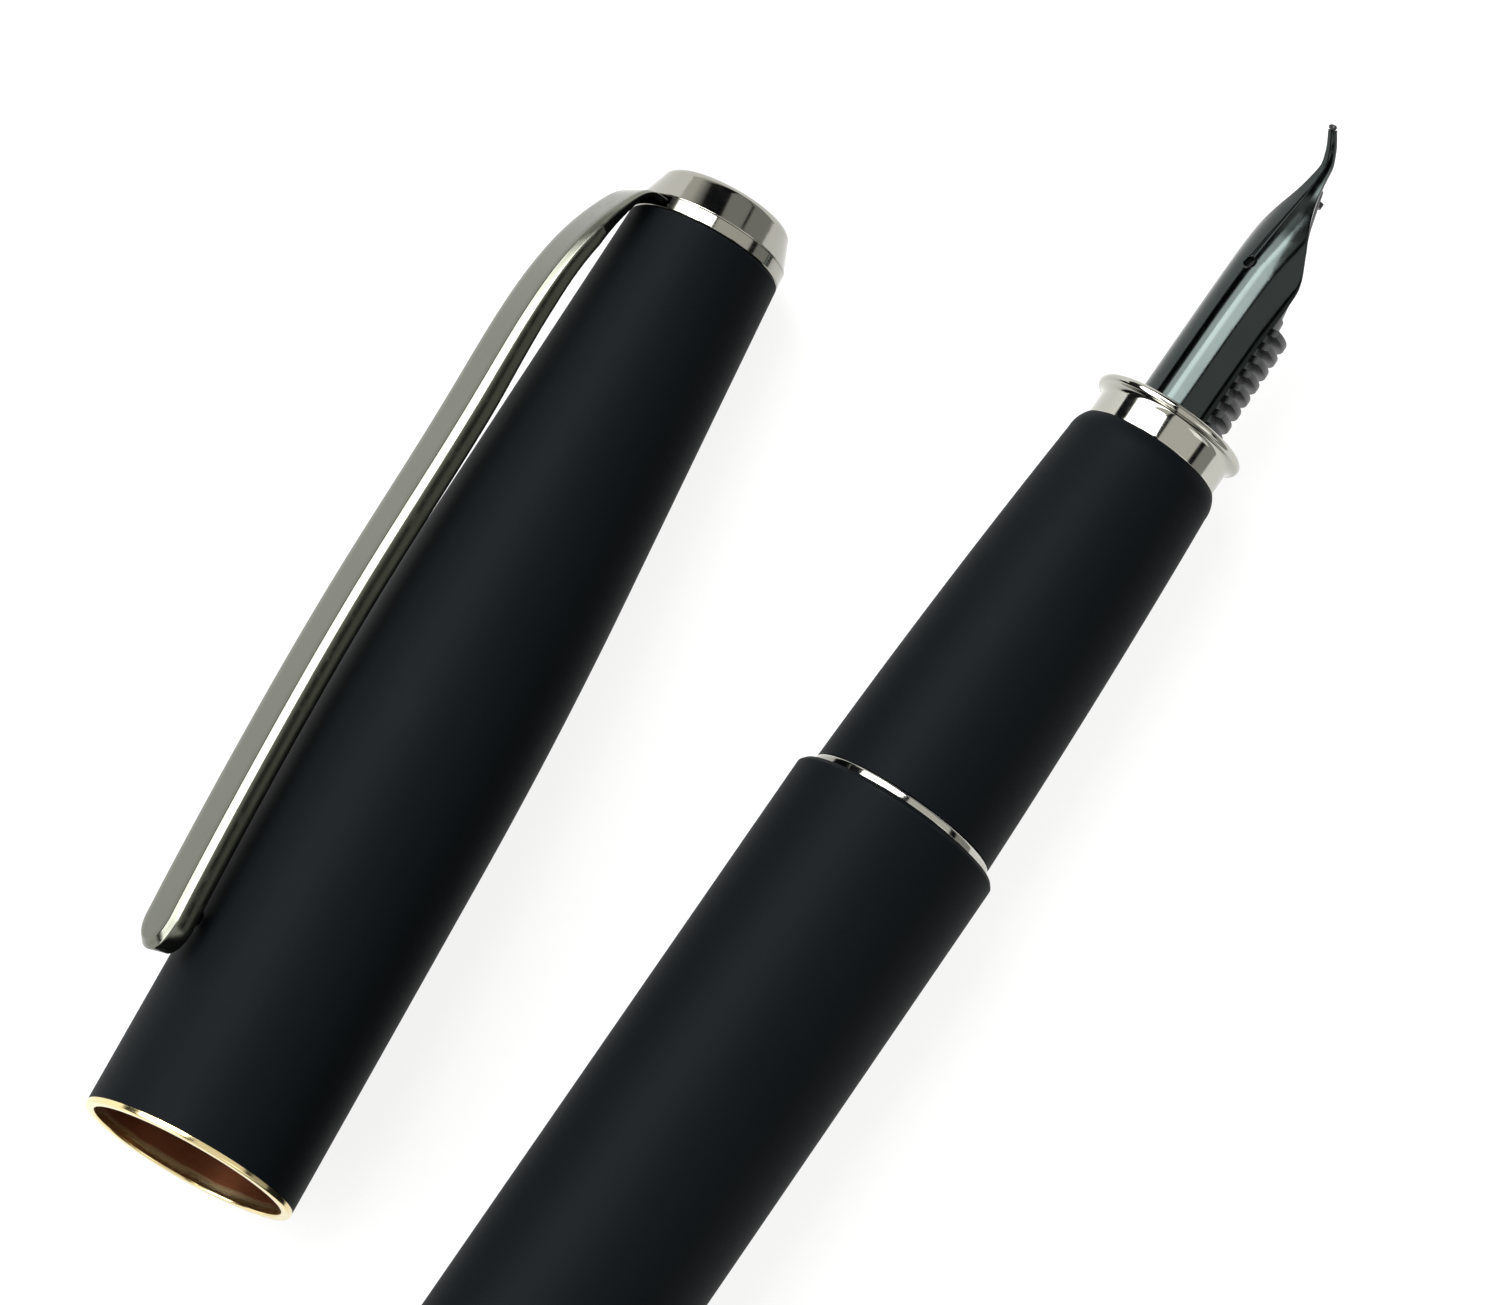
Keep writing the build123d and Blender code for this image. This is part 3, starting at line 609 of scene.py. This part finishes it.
# %% [markdown]
# ## The cap
#
# The cap is a straight tube for 22 mm, then a smooth bend into a long taper, so that its widest part
# is at the mouth. Inside the mouth a brass sleeve is pressed in and turned over the edge of the tube
# as a thin gilt lip. Deeper in, the sleeve is coloured dark brown, so one finish changes from gilt to
# dark brown with the distance from the lip.

# %% Cap tube
cap_bend = bow((22.0, 6.5), (40.0, 5.951), 20)
cap_profile = ([(0.35, 6.2), (0.35, 6.5, 0.03), (11.0, 6.5)] + cap_bend + [(50.0, 5.341), (60.1, 4.725, 0.10),
               (60.1, 1.6), (59.3, 1.6), (59.3, 4.325), (40.0, 5.551), (22.0, 6.2)])
stand_in(turned("cap_shell", cap, cap_profile, 192), "cap_tube")


# %% The sleeve: gilt at the lip, dark brown inside
def gilt_then_dark_brass(name, place):
    material, tree, own, edge = finish(name, place)
    along = add(tree, "ShaderNodeSeparateXYZ", {"Vector": own}).outputs["Y"]
    cloud = noise(tree, own, 0.5, 5.0, rough=0.65)
    hair = noise(tree, own, 1.0, 4.0, stretch=(0.3, 9.0, 0.3))
    uneven_depth = maths(tree, "ADD", along, maths(tree, "MULTIPLY", cloud, 0.4))
    # From about a millimetre in from the lip, the colour turns from gilt to dark brown.
    inside = spread(tree, uneven_depth, 0.45, 0.95, 0.0, 1.0)
    brown = mixed(tree, cloud, (0.10, 0.034, 0.016), (0.24, 0.085, 0.038))
    gilt = mixed(tree, cloud, (0.74, 0.60, 0.30), (0.86, 0.74, 0.42))
    gloss = maths(tree, "ADD", spread(tree, hair, 0.3, 0.7, 0.12, 0.20),
                  maths(tree, "MULTIPLY", inside, 0.28))
    complete(tree, Base_Color=mixed(tree, inside, gilt, brown), Metallic=1.0, Roughness=gloss,
             Normal=bumped(tree, (cloud, 0.10, 0.02), (hair, 0.25, 0.002)))
    return material


sleeve_profile = [(0.0, 5.92, 0.11), (12.0, 5.92), (12.0, 6.18), (0.33, 6.18), (0.33, 6.5), (0.0, 6.5, 0.13)]
stand_in(turned("mouth_sleeve", cap, sleeve_profile, 192), "cap_mouth_sleeve",
         gilt_then_dark_brass("gilt_then_dark_brass", cap))

# %% Finial
finial_top = arc((62.6, 4.08), (63.03, 3.86), (63.2, 3.4), 12)
finial_profile = ([(60.92, 1.52), (60.92, 4.725, 0.08)] + finial_top
                  + [(63.2, 1.5), (63.2, 0.0), (62.12, 0.0), (62.12, 1.52)])
stand_in(turned("finial_cap", cap, finial_profile, 192), "finial")

# %% [markdown]
# ## The clip
#
# The clip is a strip of spring metal, 3.9 mm wide and 1.65 mm thick, thinner over the shoulder. It
# leaves a slot under the finial, turns over a soft shoulder, bows away from the cap and comes back at
# a rounded tip. Its face is flat, its edges are bevelled at about 40 degrees, and its sides lean in
# under the bevel, all the way round the tip. So the clip is built as rings: each ring is the outline
# of the strip drawn in a little further. The rings go from the flat face over the bevel, down the
# leaning side and on to the underside. Then the whole strip is bent along its curve.

# %% The curve that the clip follows
def smooth_curve(points, start, end, count):
    """A smooth curve through points, with its direction given at both ends, as even steps."""
    p = np.array(points, float)
    t = np.concatenate([[0], np.cumsum(np.linalg.norm(np.diff(p, axis=0), axis=1))])
    h = np.diff(t)
    n = len(p)
    a, b = np.zeros((n, n)), np.zeros((n, 2))
    a[0, 0] = a[-1, -1] = 1
    b[0], b[-1] = start, end
    for i in range(1, n - 1):
        a[i, i - 1:i + 2] = h[i], 2 * (h[i - 1] + h[i]), h[i - 1]
        b[i] = 3 * (h[i] / h[i - 1] * (p[i] - p[i - 1]) + h[i - 1] / h[i] * (p[i + 1] - p[i]))
    slopes = np.linalg.solve(a, b)
    at = np.linspace(0, t[-1], count)
    k = np.clip(np.searchsorted(t, at) - 1, 0, n - 2)
    s = ((at - t[k]) / h[k])[:, None]
    hk = h[k][:, None]
    return ((2 * s**3 - 3 * s**2 + 1) * p[k] + (s**3 - 2 * s**2 + s) * hk * slopes[k]
            + (3 * s**2 - 2 * s**3) * p[k + 1] + (s**3 - s**2) * hk * slopes[k + 1])


back_points = 600
clip_back = smooth_curve([(60.78, 4.9), (59.2, 6.5), (57.1, 7.4), (45.0, 8.65), (33.0, 9.15), (23.0, 9.25),
                          (8.7, 8.85)], (0, 1), (-1, -0.05), back_points)
clip_run = np.vstack([clip_back[::-1], [(60.78, 4.0), (60.78, 2.95)]])
clip_at = np.concatenate([[0], np.cumsum(np.linalg.norm(np.diff(clip_run, axis=0), axis=1))])
print("clip is", round(clip_at[-1], 1), "mm along its back")


# %% The clip, ring by ring
def on_clip(s, across, depth):
    """A point of the bent strip: s from the tip, across it, and so deep under its back."""
    here = np.array([np.interp(s, clip_at, clip_run[:, i]) for i in (0, 1)])
    step = 0.15
    ahead = np.array([np.interp(min(s + step, clip_at[-1]), clip_at, clip_run[:, i]) for i in (0, 1)])
    behind = np.array([np.interp(max(s - step, 0), clip_at, clip_run[:, i]) for i in (0, 1)])
    along = (ahead - behind) / np.linalg.norm(ahead - behind)
    v, r = here - depth * np.array([-along[1], along[0]])
    return (across, v, r)


half_width, clip_thick, tongue_thick = 1.95, 1.65, 0.38
low_round, lean = 0.16, 0.28
shoulder_at, tongue_at = clip_at[-1] - 8.0, clip_at[-1] - 2.6
thins_along = [45.0, 52.0, 56.6, 58.3, 60.3]
thins_at = [float(np.interp(v, clip_run[:back_points, 0], clip_at[:back_points])) for v in thins_along]
thins_at.append(tongue_at + 1.0)
thins_to = [clip_thick, 1.45, 1.18, 0.85, 0.42, tongue_thick]


def thickness(s):
    """Full thickness along the strip, thinning over the shoulder into the tongue."""
    return float(np.interp(s, thins_at, thins_to))


# Each ring: how far in, how deep, whether the depth counts from the underside, how much edge wear.
rings = [(0.50, 0.0, 0.0, 0.3), (0.42, 0.018, 0.0, 0.9), (0.36, 0.06, 0.0, 1.0), (0.21, 0.195, 0.0, 0.4),
         (0.06, 0.33, 0.0, 1.0), (0.016, 0.38, 0.0, 0.8), (0.0, 0.46, 0.0, 0.2)]
for i in range(4):
    turn = math.pi / 2 * i / 3
    rings.append((lean + low_round * (1 - math.cos(turn)), -low_round * (1 - math.sin(turn)), 1.0, 0.0))
tip_steps = np.linspace(0, math.pi / 2, 17)
straight = np.concatenate([np.linspace(half_width, shoulder_at, 70)[1:],
                           np.linspace(shoulder_at, clip_at[-1], 40)[1:]])
clip_verts, clip_edges, columns = [], [], 6


def strip_row(inset, base, full, mark):
    """Indices of one ring: left side from the far end to the tip, then the right side back."""
    left, right_side = [], []
    for side, chain in ((-1, left), (1, right_side)):
        for turn in tip_steps:
            s = half_width - (half_width - inset) * math.cos(turn)
            chain.append((s, side * (half_width - inset) * math.sin(turn)))
        chain += [(s, side * (half_width - inset)) for s in straight]
    row = []
    for s, across in left[::-1] + right_side[1:]:
        t = thickness(s)
        edge_scale = min(1.0, t / clip_thick + 0.1)
        depth = full * t + base * edge_scale
        row.append(len(clip_verts))
        clip_verts.append(on_clip(s, across, depth))
        clip_edges.append(mark)
    return row


rows = [strip_row(*ring) for ring in rings]
faces = []
for low, high in zip(rows, rows[1:]):
    for k in range(len(low) - 1):
        faces.append((low[k], low[k + 1], high[k + 1], high[k]))
for row in (rows[0], rows[-1]):
    middle = len(row) // 2
    left, right_row = row[middle::-1], row[middle:]
    previous = None
    for a, b in zip(left[1:], right_row[1:]):
        pa, pb = np.array(clip_verts[a]), np.array(clip_verts[b])
        between = [a]
        for c in range(1, columns):
            between.append(len(clip_verts))
            clip_verts.append(tuple(pa + (pb - pa) * c / columns))
            clip_edges.append(0.0)
        between.append(b)
        if previous is None:
            faces += [(row[middle], between[c], between[c + 1]) for c in range(columns)]
        else:
            faces += [(previous[c], previous[c + 1], between[c + 1], between[c]) for c in range(columns)]
        previous = between
    if row is rows[0]:
        end_top = previous
    else:
        end_low = previous
end_loop = end_top + [row[-1] for row in rows[1:-1]] + end_low[::-1] + [row[0] for row in rows[-2:0:-1]]
faces.append(tuple(end_loop))
clip_mesh = bpy.data.meshes.new("clip_strip")
clip_mesh.from_pydata(clip_verts, [], faces)
clip_piece = finished("clip_strip", clip_mesh, clip_place, clip_edges, 40)

# %% The small bump under the clip's tip joins its mesh
bump_at, bump_top, bump_low = 11.7, 7.9, 6.63
clip_bump = turned("clip_bump", place_at(cap_origin, Vector(mounts["clip_grip"]["axis"]), cap_along),
                   [(bump_low, 0.0), (bump_low, 0.5, 0.15), (bump_top, 0.75), (bump_top, 0.0)], 32)
clip_bump.data.transform(Matrix.Translation(cap_along * bump_at * MM))
joined = bmesh.new()
joined.from_mesh(clip_piece.data)
joined.from_mesh(clip_bump.data)
joined.to_mesh(clip_piece.data)
joined.free()
bpy.data.objects.remove(clip_bump)
clip_piece.data.set_sharp_from_angle(angle=math.radians(40))
stand_in(clip_piece, "clip", finishes["gunmetal_clip"])

# %% [markdown]
# ## The nib
#
# A nib is cut flat from sheet steel a quarter of a millimetre thick and pressed to a curve. Behind
# the shoulders it wraps more than half way round the feed. In front it narrows and flattens, and this
# one is bent up sharply at the tip, so that it draws broad or fine lines as it is tilted. A slit runs
# from a small breather hole to the tip. The sheet is built as two halves that share the middle behind
# the hole and part along the slit in front of it, and a Solidify modifier then gives it thickness.

# %% Stations along the nib: how high the crown is, how round, how wide and how tilted
stations = np.array([
    (18.0, 2.50, 2.50, 84.0, 0.0), (28.0, 2.50, 2.50, 84.0, 0.0), (34.0, 2.47, 2.52, 84.0, 0.0),
    (38.0, 2.36, 2.65, 78.0, -4.0), (40.1, 2.15, 2.90, 52.0, -7.0), (42.0, 1.88, 3.00, 29.0, -8.0),
    (44.0, 1.60, 3.00, 13.5, -6.0), (45.3, 1.55, 3.00, 8.2, 12.0), (46.2, 2.00, 3.00, 6.4, 38.0),
    (47.1, 2.90, 3.00, 5.0, 50.0)])


def eased(u, column):
    """A smooth value between the stations that never overshoots them."""
    x, y = stations[:, 0], stations[:, column]
    d = np.diff(y) / np.diff(x)
    m = np.zeros(len(x))
    m[0], m[-1] = d[0], d[-1]
    for i in range(1, len(x) - 1):
        if d[i - 1] * d[i] > 0:
            w1, w2 = 2 * (x[i + 1] - x[i]) + x[i] - x[i - 1], x[i + 1] - x[i] + 2 * (x[i] - x[i - 1])
            m[i] = (w1 + w2) / (w1 / d[i - 1] + w2 / d[i])
    k = min(max(int(np.searchsorted(x, u)) - 1, 0), len(x) - 2)
    h = x[k + 1] - x[k]
    s = (u - x[k]) / h
    return ((2 * s**3 - 3 * s**2 + 1) * y[k] + (s**3 - 2 * s**2 + s) * h * m[k]
            + (3 * s**2 - 2 * s**3) * y[k + 1] + (s**3 - s**2) * h * m[k + 1])


# %% The nib's sheet
breather_at, breather_radius, slit_half = 38.1, 0.36, 0.04
rows_at = np.unique(np.concatenate([
    np.linspace(18.0, 37.6, 30), breather_at - breather_radius * np.cos(np.linspace(0, math.pi, 15)),
    np.linspace(38.6, 44.0, 26), np.linspace(44.0, 47.1, 30)]))
nib_verts, nib_faces, grid = [], [], {}
across_steps = 14
for i, u in enumerate(rows_at):
    crown, radius, half_angle, tilt = (eased(u, c) for c in (1, 2, 3, 4))
    tilt, wide = math.radians(tilt), math.radians(half_angle)
    gap = 0.0
    if abs(u - breather_at) < breather_radius - 1e-6:
        gap = math.sqrt(breather_radius**2 - (u - breather_at) ** 2)
    elif u > breather_at:
        gap = slit_half
    gap = max(gap, slit_half) if u > breather_at else gap
    inner = math.asin(gap / radius)
    for side in (-1, 1):
        for j in range(across_steps + 1):
            turn = inner + (wide - inner) * j / across_steps
            x, drop = side * radius * math.sin(turn), radius * (1 - math.cos(turn))
            y, z = u + drop * math.sin(tilt), crown - drop * math.cos(tilt)
            grid[i, side, j] = len(nib_verts)
            nib_verts.append((x, y, z))
for i in range(len(rows_at) - 1):
    for side in (-1, 1):
        for j in range(across_steps):
            corners = [grid[i, side, j], grid[i + 1, side, j], grid[i + 1, side, j + 1], grid[i, side, j + 1]]
            nib_faces.append(corners if side < 0 else corners[::-1])
nib_mesh = bpy.data.meshes.new("nib_sheet")
nib_mesh.from_pydata(nib_verts, [], nib_faces)
nib_piece = finished("nib_sheet", nib_mesh, nib_place, None, 60)


# %% Thickness and softened edges, then a plain mesh again
def settled(piece):
    """The piece with its modifiers worked into a plain mesh."""
    shown = piece.evaluated_get(bpy.context.evaluated_depsgraph_get())
    mesh = bpy.data.meshes.new_from_object(shown)
    mesh.name = piece.name
    old = piece.data
    piece.modifiers.clear()
    piece.data = mesh
    bpy.data.meshes.remove(old)
    return piece


def facing_out(piece, place):
    """True if the sheet's faces look away from the pen's axis."""
    centre = place.to_translation()
    axis = (place.to_3x3() @ Vector((0, 1, 0))).normalized()
    total = 0.0
    for face in piece.data.polygons:
        outward = face.center - centre
        outward -= axis * outward.dot(axis)
        total += face.area * face.normal.dot(outward.normalized())
    return total > 0


if not facing_out(nib_piece, nib_place):
    nib_piece.data.flip_normals()
solid = nib_piece.modifiers.new("sheet_thickness", "SOLIDIFY")
solid.thickness, solid.offset = 0.25 * MM, -1.0
soft = nib_piece.modifiers.new("soft_edges", "BEVEL")
soft.width, soft.segments, soft.angle_limit = 0.035 * MM, 2, math.radians(50)
settled(nib_piece)
nib_piece.data.shade_smooth()
nib_piece.data.set_sharp_from_angle(angle=math.radians(60))
stand_in(nib_piece, "nib")

# %% [markdown]
# ## The writing tip
#
# A drop of very hard alloy is welded to the end of a steel nib and ground smooth, because steel alone
# would wear flat on paper. It is a rounded pellet with the slit running through it, half a
# millimetre across, and it sits square on the upturned end.

# %% Tip pellet
tip_tilt = math.radians(50)
tip_forward = Vector((0, math.cos(tip_tilt), math.sin(tip_tilt)))
tip_up = Vector((0, -math.sin(tip_tilt), math.cos(tip_tilt)))
tip_base = Vector((0, 47.1, 2.9)) - tip_up * 0.125 + tip_forward * 0.01
pellet_verts, pellet_faces, around, climb = [], [], 24, 10
for i in range(climb + 1):
    turn = math.pi * i / climb
    along, girth = 0.15 * (1 - math.cos(turn)), math.sin(turn) ** 0.6 if 0 < i < climb else 0.0
    if not girth:
        pellet_verts.append(tip_base + tip_forward * along)
        continue
    for k in range(around):
        a = 2 * math.pi * k / around
        x, z = (math.copysign(abs(f(a)) ** 0.8, f(a)) for f in (math.cos, math.sin))
        pellet_verts.append(tip_base + tip_forward * along + Vector((0.28 * x * girth, 0, 0))
                            + tip_up * 0.15 * z * girth)
last = len(pellet_verts) - 1
for k in range(around):
    n = (k + 1) % around
    pellet_faces += [(0, 1 + n, 1 + k), (last, last - around + k, last - around + n)]
    for i in range(climb - 2):
        low = 1 + i * around
        pellet_faces.append((low + k, low + n, low + around + n, low + around + k))
pellet_mesh = bpy.data.meshes.new("tip_pellet")
pellet_mesh.from_pydata(pellet_verts, [], pellet_faces)
stand_in(finished("tip_pellet", pellet_mesh, nib_place, None, 60), "nib_tip")

# %% [markdown]
# ## The feed
#
# The feed is a black plastic rod under the nib that lets ink forward and air back. Its comb of thin
# fins holds spare ink by capillary action. The fins are one shape repeated at an even pitch, which is
# what Geometry Nodes are for: the tree sets copies of one fin along a line, realises them and gives
# them their material. A tiny seeded difference in size stands for the tolerance of the mould.

# %% A node tree that repeats one shape along a line or round a circle
def repeater(name):
    tree = bpy.data.node_groups.new(name, "GeometryNodeTree")
    face = tree.interface
    face.new_socket("Geometry", in_out="INPUT", socket_type="NodeSocketGeometry")
    wanted = (("Count", "NodeSocketInt", 8), ("Step", "NodeSocketVector", (0, 1, 0)),
              ("Turn", "NodeSocketFloat", 0.0), ("Tolerance", "NodeSocketFloat", 0.0),
              ("Seed", "NodeSocketInt", 7), ("Material", "NodeSocketMaterial", None))
    for label, kind, default in wanted:
        socket = face.new_socket(label, in_out="INPUT", socket_type=kind)
        if default is not None:
            socket.default_value = default
    face.new_socket("Geometry", in_out="OUTPUT", socket_type="NodeSocketGeometry")
    given = add(tree, "NodeGroupInput").outputs
    line = add(tree, "GeometryNodeMeshLine", {"Count": given["Count"], "Offset": given["Step"]})
    index = add(tree, "GeometryNodeInputIndex").outputs["Index"]
    turn = add(tree, "ShaderNodeMath", {0: index, 1: given["Turn"]}, operation="MULTIPLY").outputs[0]
    turned_by = add(tree, "ShaderNodeCombineXYZ", {"Y": turn}).outputs["Vector"]
    low = add(tree, "ShaderNodeMath", {0: 1.0, 1: given["Tolerance"]}, operation="SUBTRACT").outputs[0]
    size = add(tree, "FunctionNodeRandomValue", {2: low, 3: 1.0, "Seed": given["Seed"]}, data_type="FLOAT")
    copies = add(tree, "GeometryNodeInstanceOnPoints",
                 {"Points": line.outputs["Mesh"], "Instance": given["Geometry"], "Rotation": turned_by,
                  "Scale": size.outputs[1]})
    real = add(tree, "GeometryNodeRealizeInstances", {"Geometry": copies.outputs["Instances"]})
    painted = add(tree, "GeometryNodeSetMaterial", {"Geometry": real.outputs["Geometry"],
                                                    "Material": given["Material"]})
    add(tree, "NodeGroupOutput", {"Geometry": painted.outputs["Geometry"]})
    return tree


def repeated(name, verts, faces, material, **values):
    """One shape in the part's own millimetres, repeated by the tree and made a plain mesh."""
    mesh = bpy.data.meshes.new(name)
    mesh.from_pydata(verts, [], faces)
    one = bpy.data.objects.new(name, mesh)
    bpy.context.collection.objects.link(one)
    many = one.modifiers.new("repeat", "NODES")
    many.node_group = repeat_tree
    for socket in repeat_tree.interface.items_tree:
        if socket.in_out == "INPUT" and socket.name in values:
            many[socket.identifier] = values[socket.name]
        if socket.in_out == "INPUT" and socket.name == "Material":
            many[socket.identifier] = material
    settled(one)
    plain = one.data
    bpy.data.objects.remove(one)
    return plain


repeat_tree = repeater("repeat_along_or_round")
print("inputs of the tree:", [s.name for s in repeat_tree.interface.items_tree if s.in_out == "INPUT"])


# %% One fin, with its rim rounded
def fin_shape(radius, thick, top, steps=40, rim=0.08):
    """A disc cut off above height top, as rings from the rear face over the rim to the front face."""
    start = math.asin(top / radius)
    sweep = [start - (math.pi + 2 * start) * i / steps for i in range(steps + 1)]
    layers = [(radius - rim, 0.0), (radius - 0.3 * rim, 0.3 * rim), (radius, rim), (radius, thick - rim),
              (radius - 0.3 * rim, thick - 0.3 * rim), (radius - rim, thick)]
    verts, faces, rows = [], [], []
    for r, y in layers:
        rows.append(list(range(len(verts), len(verts) + steps + 1)))
        verts += [(r * math.cos(a), y, min(r * math.sin(a), top)) for a in sweep]
    for low, high in zip(rows, rows[1:]):
        faces += [(low[k], low[k + 1], high[k + 1], high[k]) for k in range(steps)]
    faces += [tuple(rows[0]), tuple(rows[-1][::-1]), tuple([row[0] for row in rows][::-1]
                                                          + [row[-1] for row in rows])]
    return verts, faces


fin_verts, fin_faces = fin_shape(3.0, 0.45, 0.05)
fin_start = 28.55
fin_mesh = repeated("fins", fin_verts, fin_faces, finishes["black_plastic_pen"], Count=8,
                    Step=(0.0, 0.95, 0.0), Tolerance=0.012, Seed=11)
fin_mesh.transform(Matrix.Translation((0, fin_start, 0)))

# %% The feed's body and its nose
body_profile = [(14.1, 0.0), (36.6, 0.0), (36.6, 2.08), (35.1, 2.18), (14.1, 2.18, 0.1)]
feed_piece = turned("feed_comb", nib_place, body_profile, 64)
nose_at = np.array([(36.5, 0.0, 1.96), (38.4, 0.15, 1.75), (40.2, 0.45, 1.30), (42.0, 0.68, 0.80),
                    (44.2, 0.90, 0.32)])
nose_verts, nose_faces, around, climb = [], [], 40, 30
for i in range(climb + 1):
    u = nose_at[0, 0] + (nose_at[-1, 0] - nose_at[0, 0]) * i / climb
    height, radius = (np.interp(u, nose_at[:, 0], nose_at[:, c]) for c in (1, 2))
    for k in range(around):
        a = 2 * math.pi * k / around
        nose_verts.append((radius * math.sin(a), u, height + radius * math.cos(a)))
for i in range(climb):
    for k in range(around):
        n, low = (k + 1) % around, i * around
        nose_faces.append((low + k, low + n, low + around + n, low + around + k))
nose_faces += [tuple(range(around)), tuple(range(climb * around, (climb + 1) * around))[::-1]]
tooth_verts = [(0.3 * math.sin(a), y, 0.55 - 0.32 + 0.3 * math.cos(a) * 0.9)
               for y in (43.4, 43.75) for a in np.arange(16) * math.pi / 8]
tooth_faces = [(k, (k + 1) % 16, 16 + (k + 1) % 16, 16 + k) for k in range(16)]
tooth_faces += [tuple(range(16)), tuple(range(16, 32))[::-1]]
joined = bmesh.new()
joined.from_mesh(feed_piece.data)
for verts, faces in ((nose_verts, nose_faces), (tooth_verts, tooth_faces)):
    extra = bpy.data.meshes.new("extra")
    extra.from_pydata(verts, [], faces)
    extra.transform(nib_place)
    joined.from_mesh(extra)
fin_mesh.transform(nib_place)
joined.from_mesh(fin_mesh)
bmesh.ops.recalc_face_normals(joined, faces=joined.faces)
joined.to_mesh(feed_piece.data)
joined.free()
feed_piece.data.shade_smooth()
feed_piece.data.set_sharp_from_angle(angle=math.radians(40))
stand_in(feed_piece, "feed")

# %% [markdown]
# ## Threads
#
# A thread is a groove that climbs as it turns. The solid model draws it as plain rings, which is
# enough for its size. Here the lathe helper's wave pushes each point in by an amount that depends on
# both its distance along the axis and its angle, and so the groove becomes a true helix. It fades in
# and out at its ends, as a cut thread does.

# %% Section core with the barrel's thread, and the piston's screw
def helix(start, end, pitch, depth):
    def wave(along, radius, angle):
        fade = min(max((along - start) / pitch, 0), 1) * min(max((end - along) / pitch, 0), 1)
        phase = (along / pitch - angle / (2 * math.pi)) % 1.0
        ridge = 1 - abs(2 * phase - 1)
        return along, radius - depth * fade * min(1.6 * ridge, 1.0)
    return wave


thread_start, thread_end = -9.3, -1.9
core_thread = [(y, 4.6) for y in np.arange(thread_end, thread_start, -0.75 / 8)]
core_profile = ([(-9.5, 3.6), (3.2, 3.6), (3.2, 1.25), (-3.0, 1.25, 0.1), (-3.0, 0.7), (5.0, 0.7),
                 (5.0, 3.22), (27.7, 3.22), (27.7, 3.65), (4.98, 3.65), (4.98, 4.6), (-0.6, 4.6),
                 (-0.6, 4.05), (-1.2, 4.05), (-1.2, 4.6)] + core_thread + [(-9.35, 4.45), (-9.5, 4.2)])
only_outside = helix(thread_start, thread_end, 0.75, 0.25)
stand_in(turned("core", pen, core_profile, 128,
                lambda y, r, a: only_outside(y, r, a) if r > 4.5 else (y, r)), "section_core")

rod_thread = [(y, 1.0) for y in np.arange(-14.0, -40.6, -1.5 / 8)]
rod_profile = [(-41.0, 0.0), (-9.62, 0.0), (-9.62, 1.0)] + rod_thread + [(-40.7, 1.0), (-41.0, 0.7)]
rod_wave = helix(-40.6, -14.2, 1.5, 0.2)
stand_in(turned("screw_rod", pen, rod_profile, 48, lambda y, r, a: rod_wave(y, r, a) if r > 0.9 else (y, r)),
         "piston_rod")

# %% [markdown]
# ## The converter's knob
#
# The knob is turned by two fingers to draw ink, so it is ribbed. The ribs are one small bar repeated
# round the knob by the same node tree, this time with a turn between copies and no step.

# %% Knob and its ribs
knob_profile = [(-44.1, 1.9), (-45.6, 1.9), (-45.6, 1.3), (-59.2, 1.3), (-59.2, 0.0), (-60.4, 0.0),
                (-60.4, 2.95), (-59.9, 3.45, 0.1), (-59.4, 3.45), (-59.3, 3.3), (-46.2, 3.3), (-46.1, 3.45),
                (-44.1, 3.45, 0.1)]
knob_piece = turned("turning_knob", pen, knob_profile, 120)
rib_count, rib_half = 24, 0.28
rib_section = [(rib_half * math.cos(a), 3.27 + 0.18 * math.sin(a)) for a in np.linspace(0, math.pi, 9)]
rib_verts = [(x, y, z) for y in (-59.38, -46.12) for x, z in rib_section]
rib_faces = [(k, (k + 1) % 9, 9 + (k + 1) % 9, 9 + k) for k in range(9)]
rib_faces += [tuple(range(9)), tuple(range(9, 18))[::-1]]
rib_mesh = repeated("ribs", rib_verts, rib_faces, finishes["black_plastic_pen"], Count=rib_count,
                    Step=(0.0, 0.0, 0.0), Turn=2 * math.pi / rib_count, Seed=3)
rib_mesh.transform(pen)
joined = bmesh.new()
joined.from_mesh(knob_piece.data)
joined.from_mesh(rib_mesh)
bmesh.ops.recalc_face_normals(joined, faces=joined.faces)
joined.to_mesh(knob_piece.data)
joined.free()
knob_piece.data.shade_smooth()
knob_piece.data.set_sharp_from_angle(angle=math.radians(35))
stand_in(knob_piece, "converter_knob")
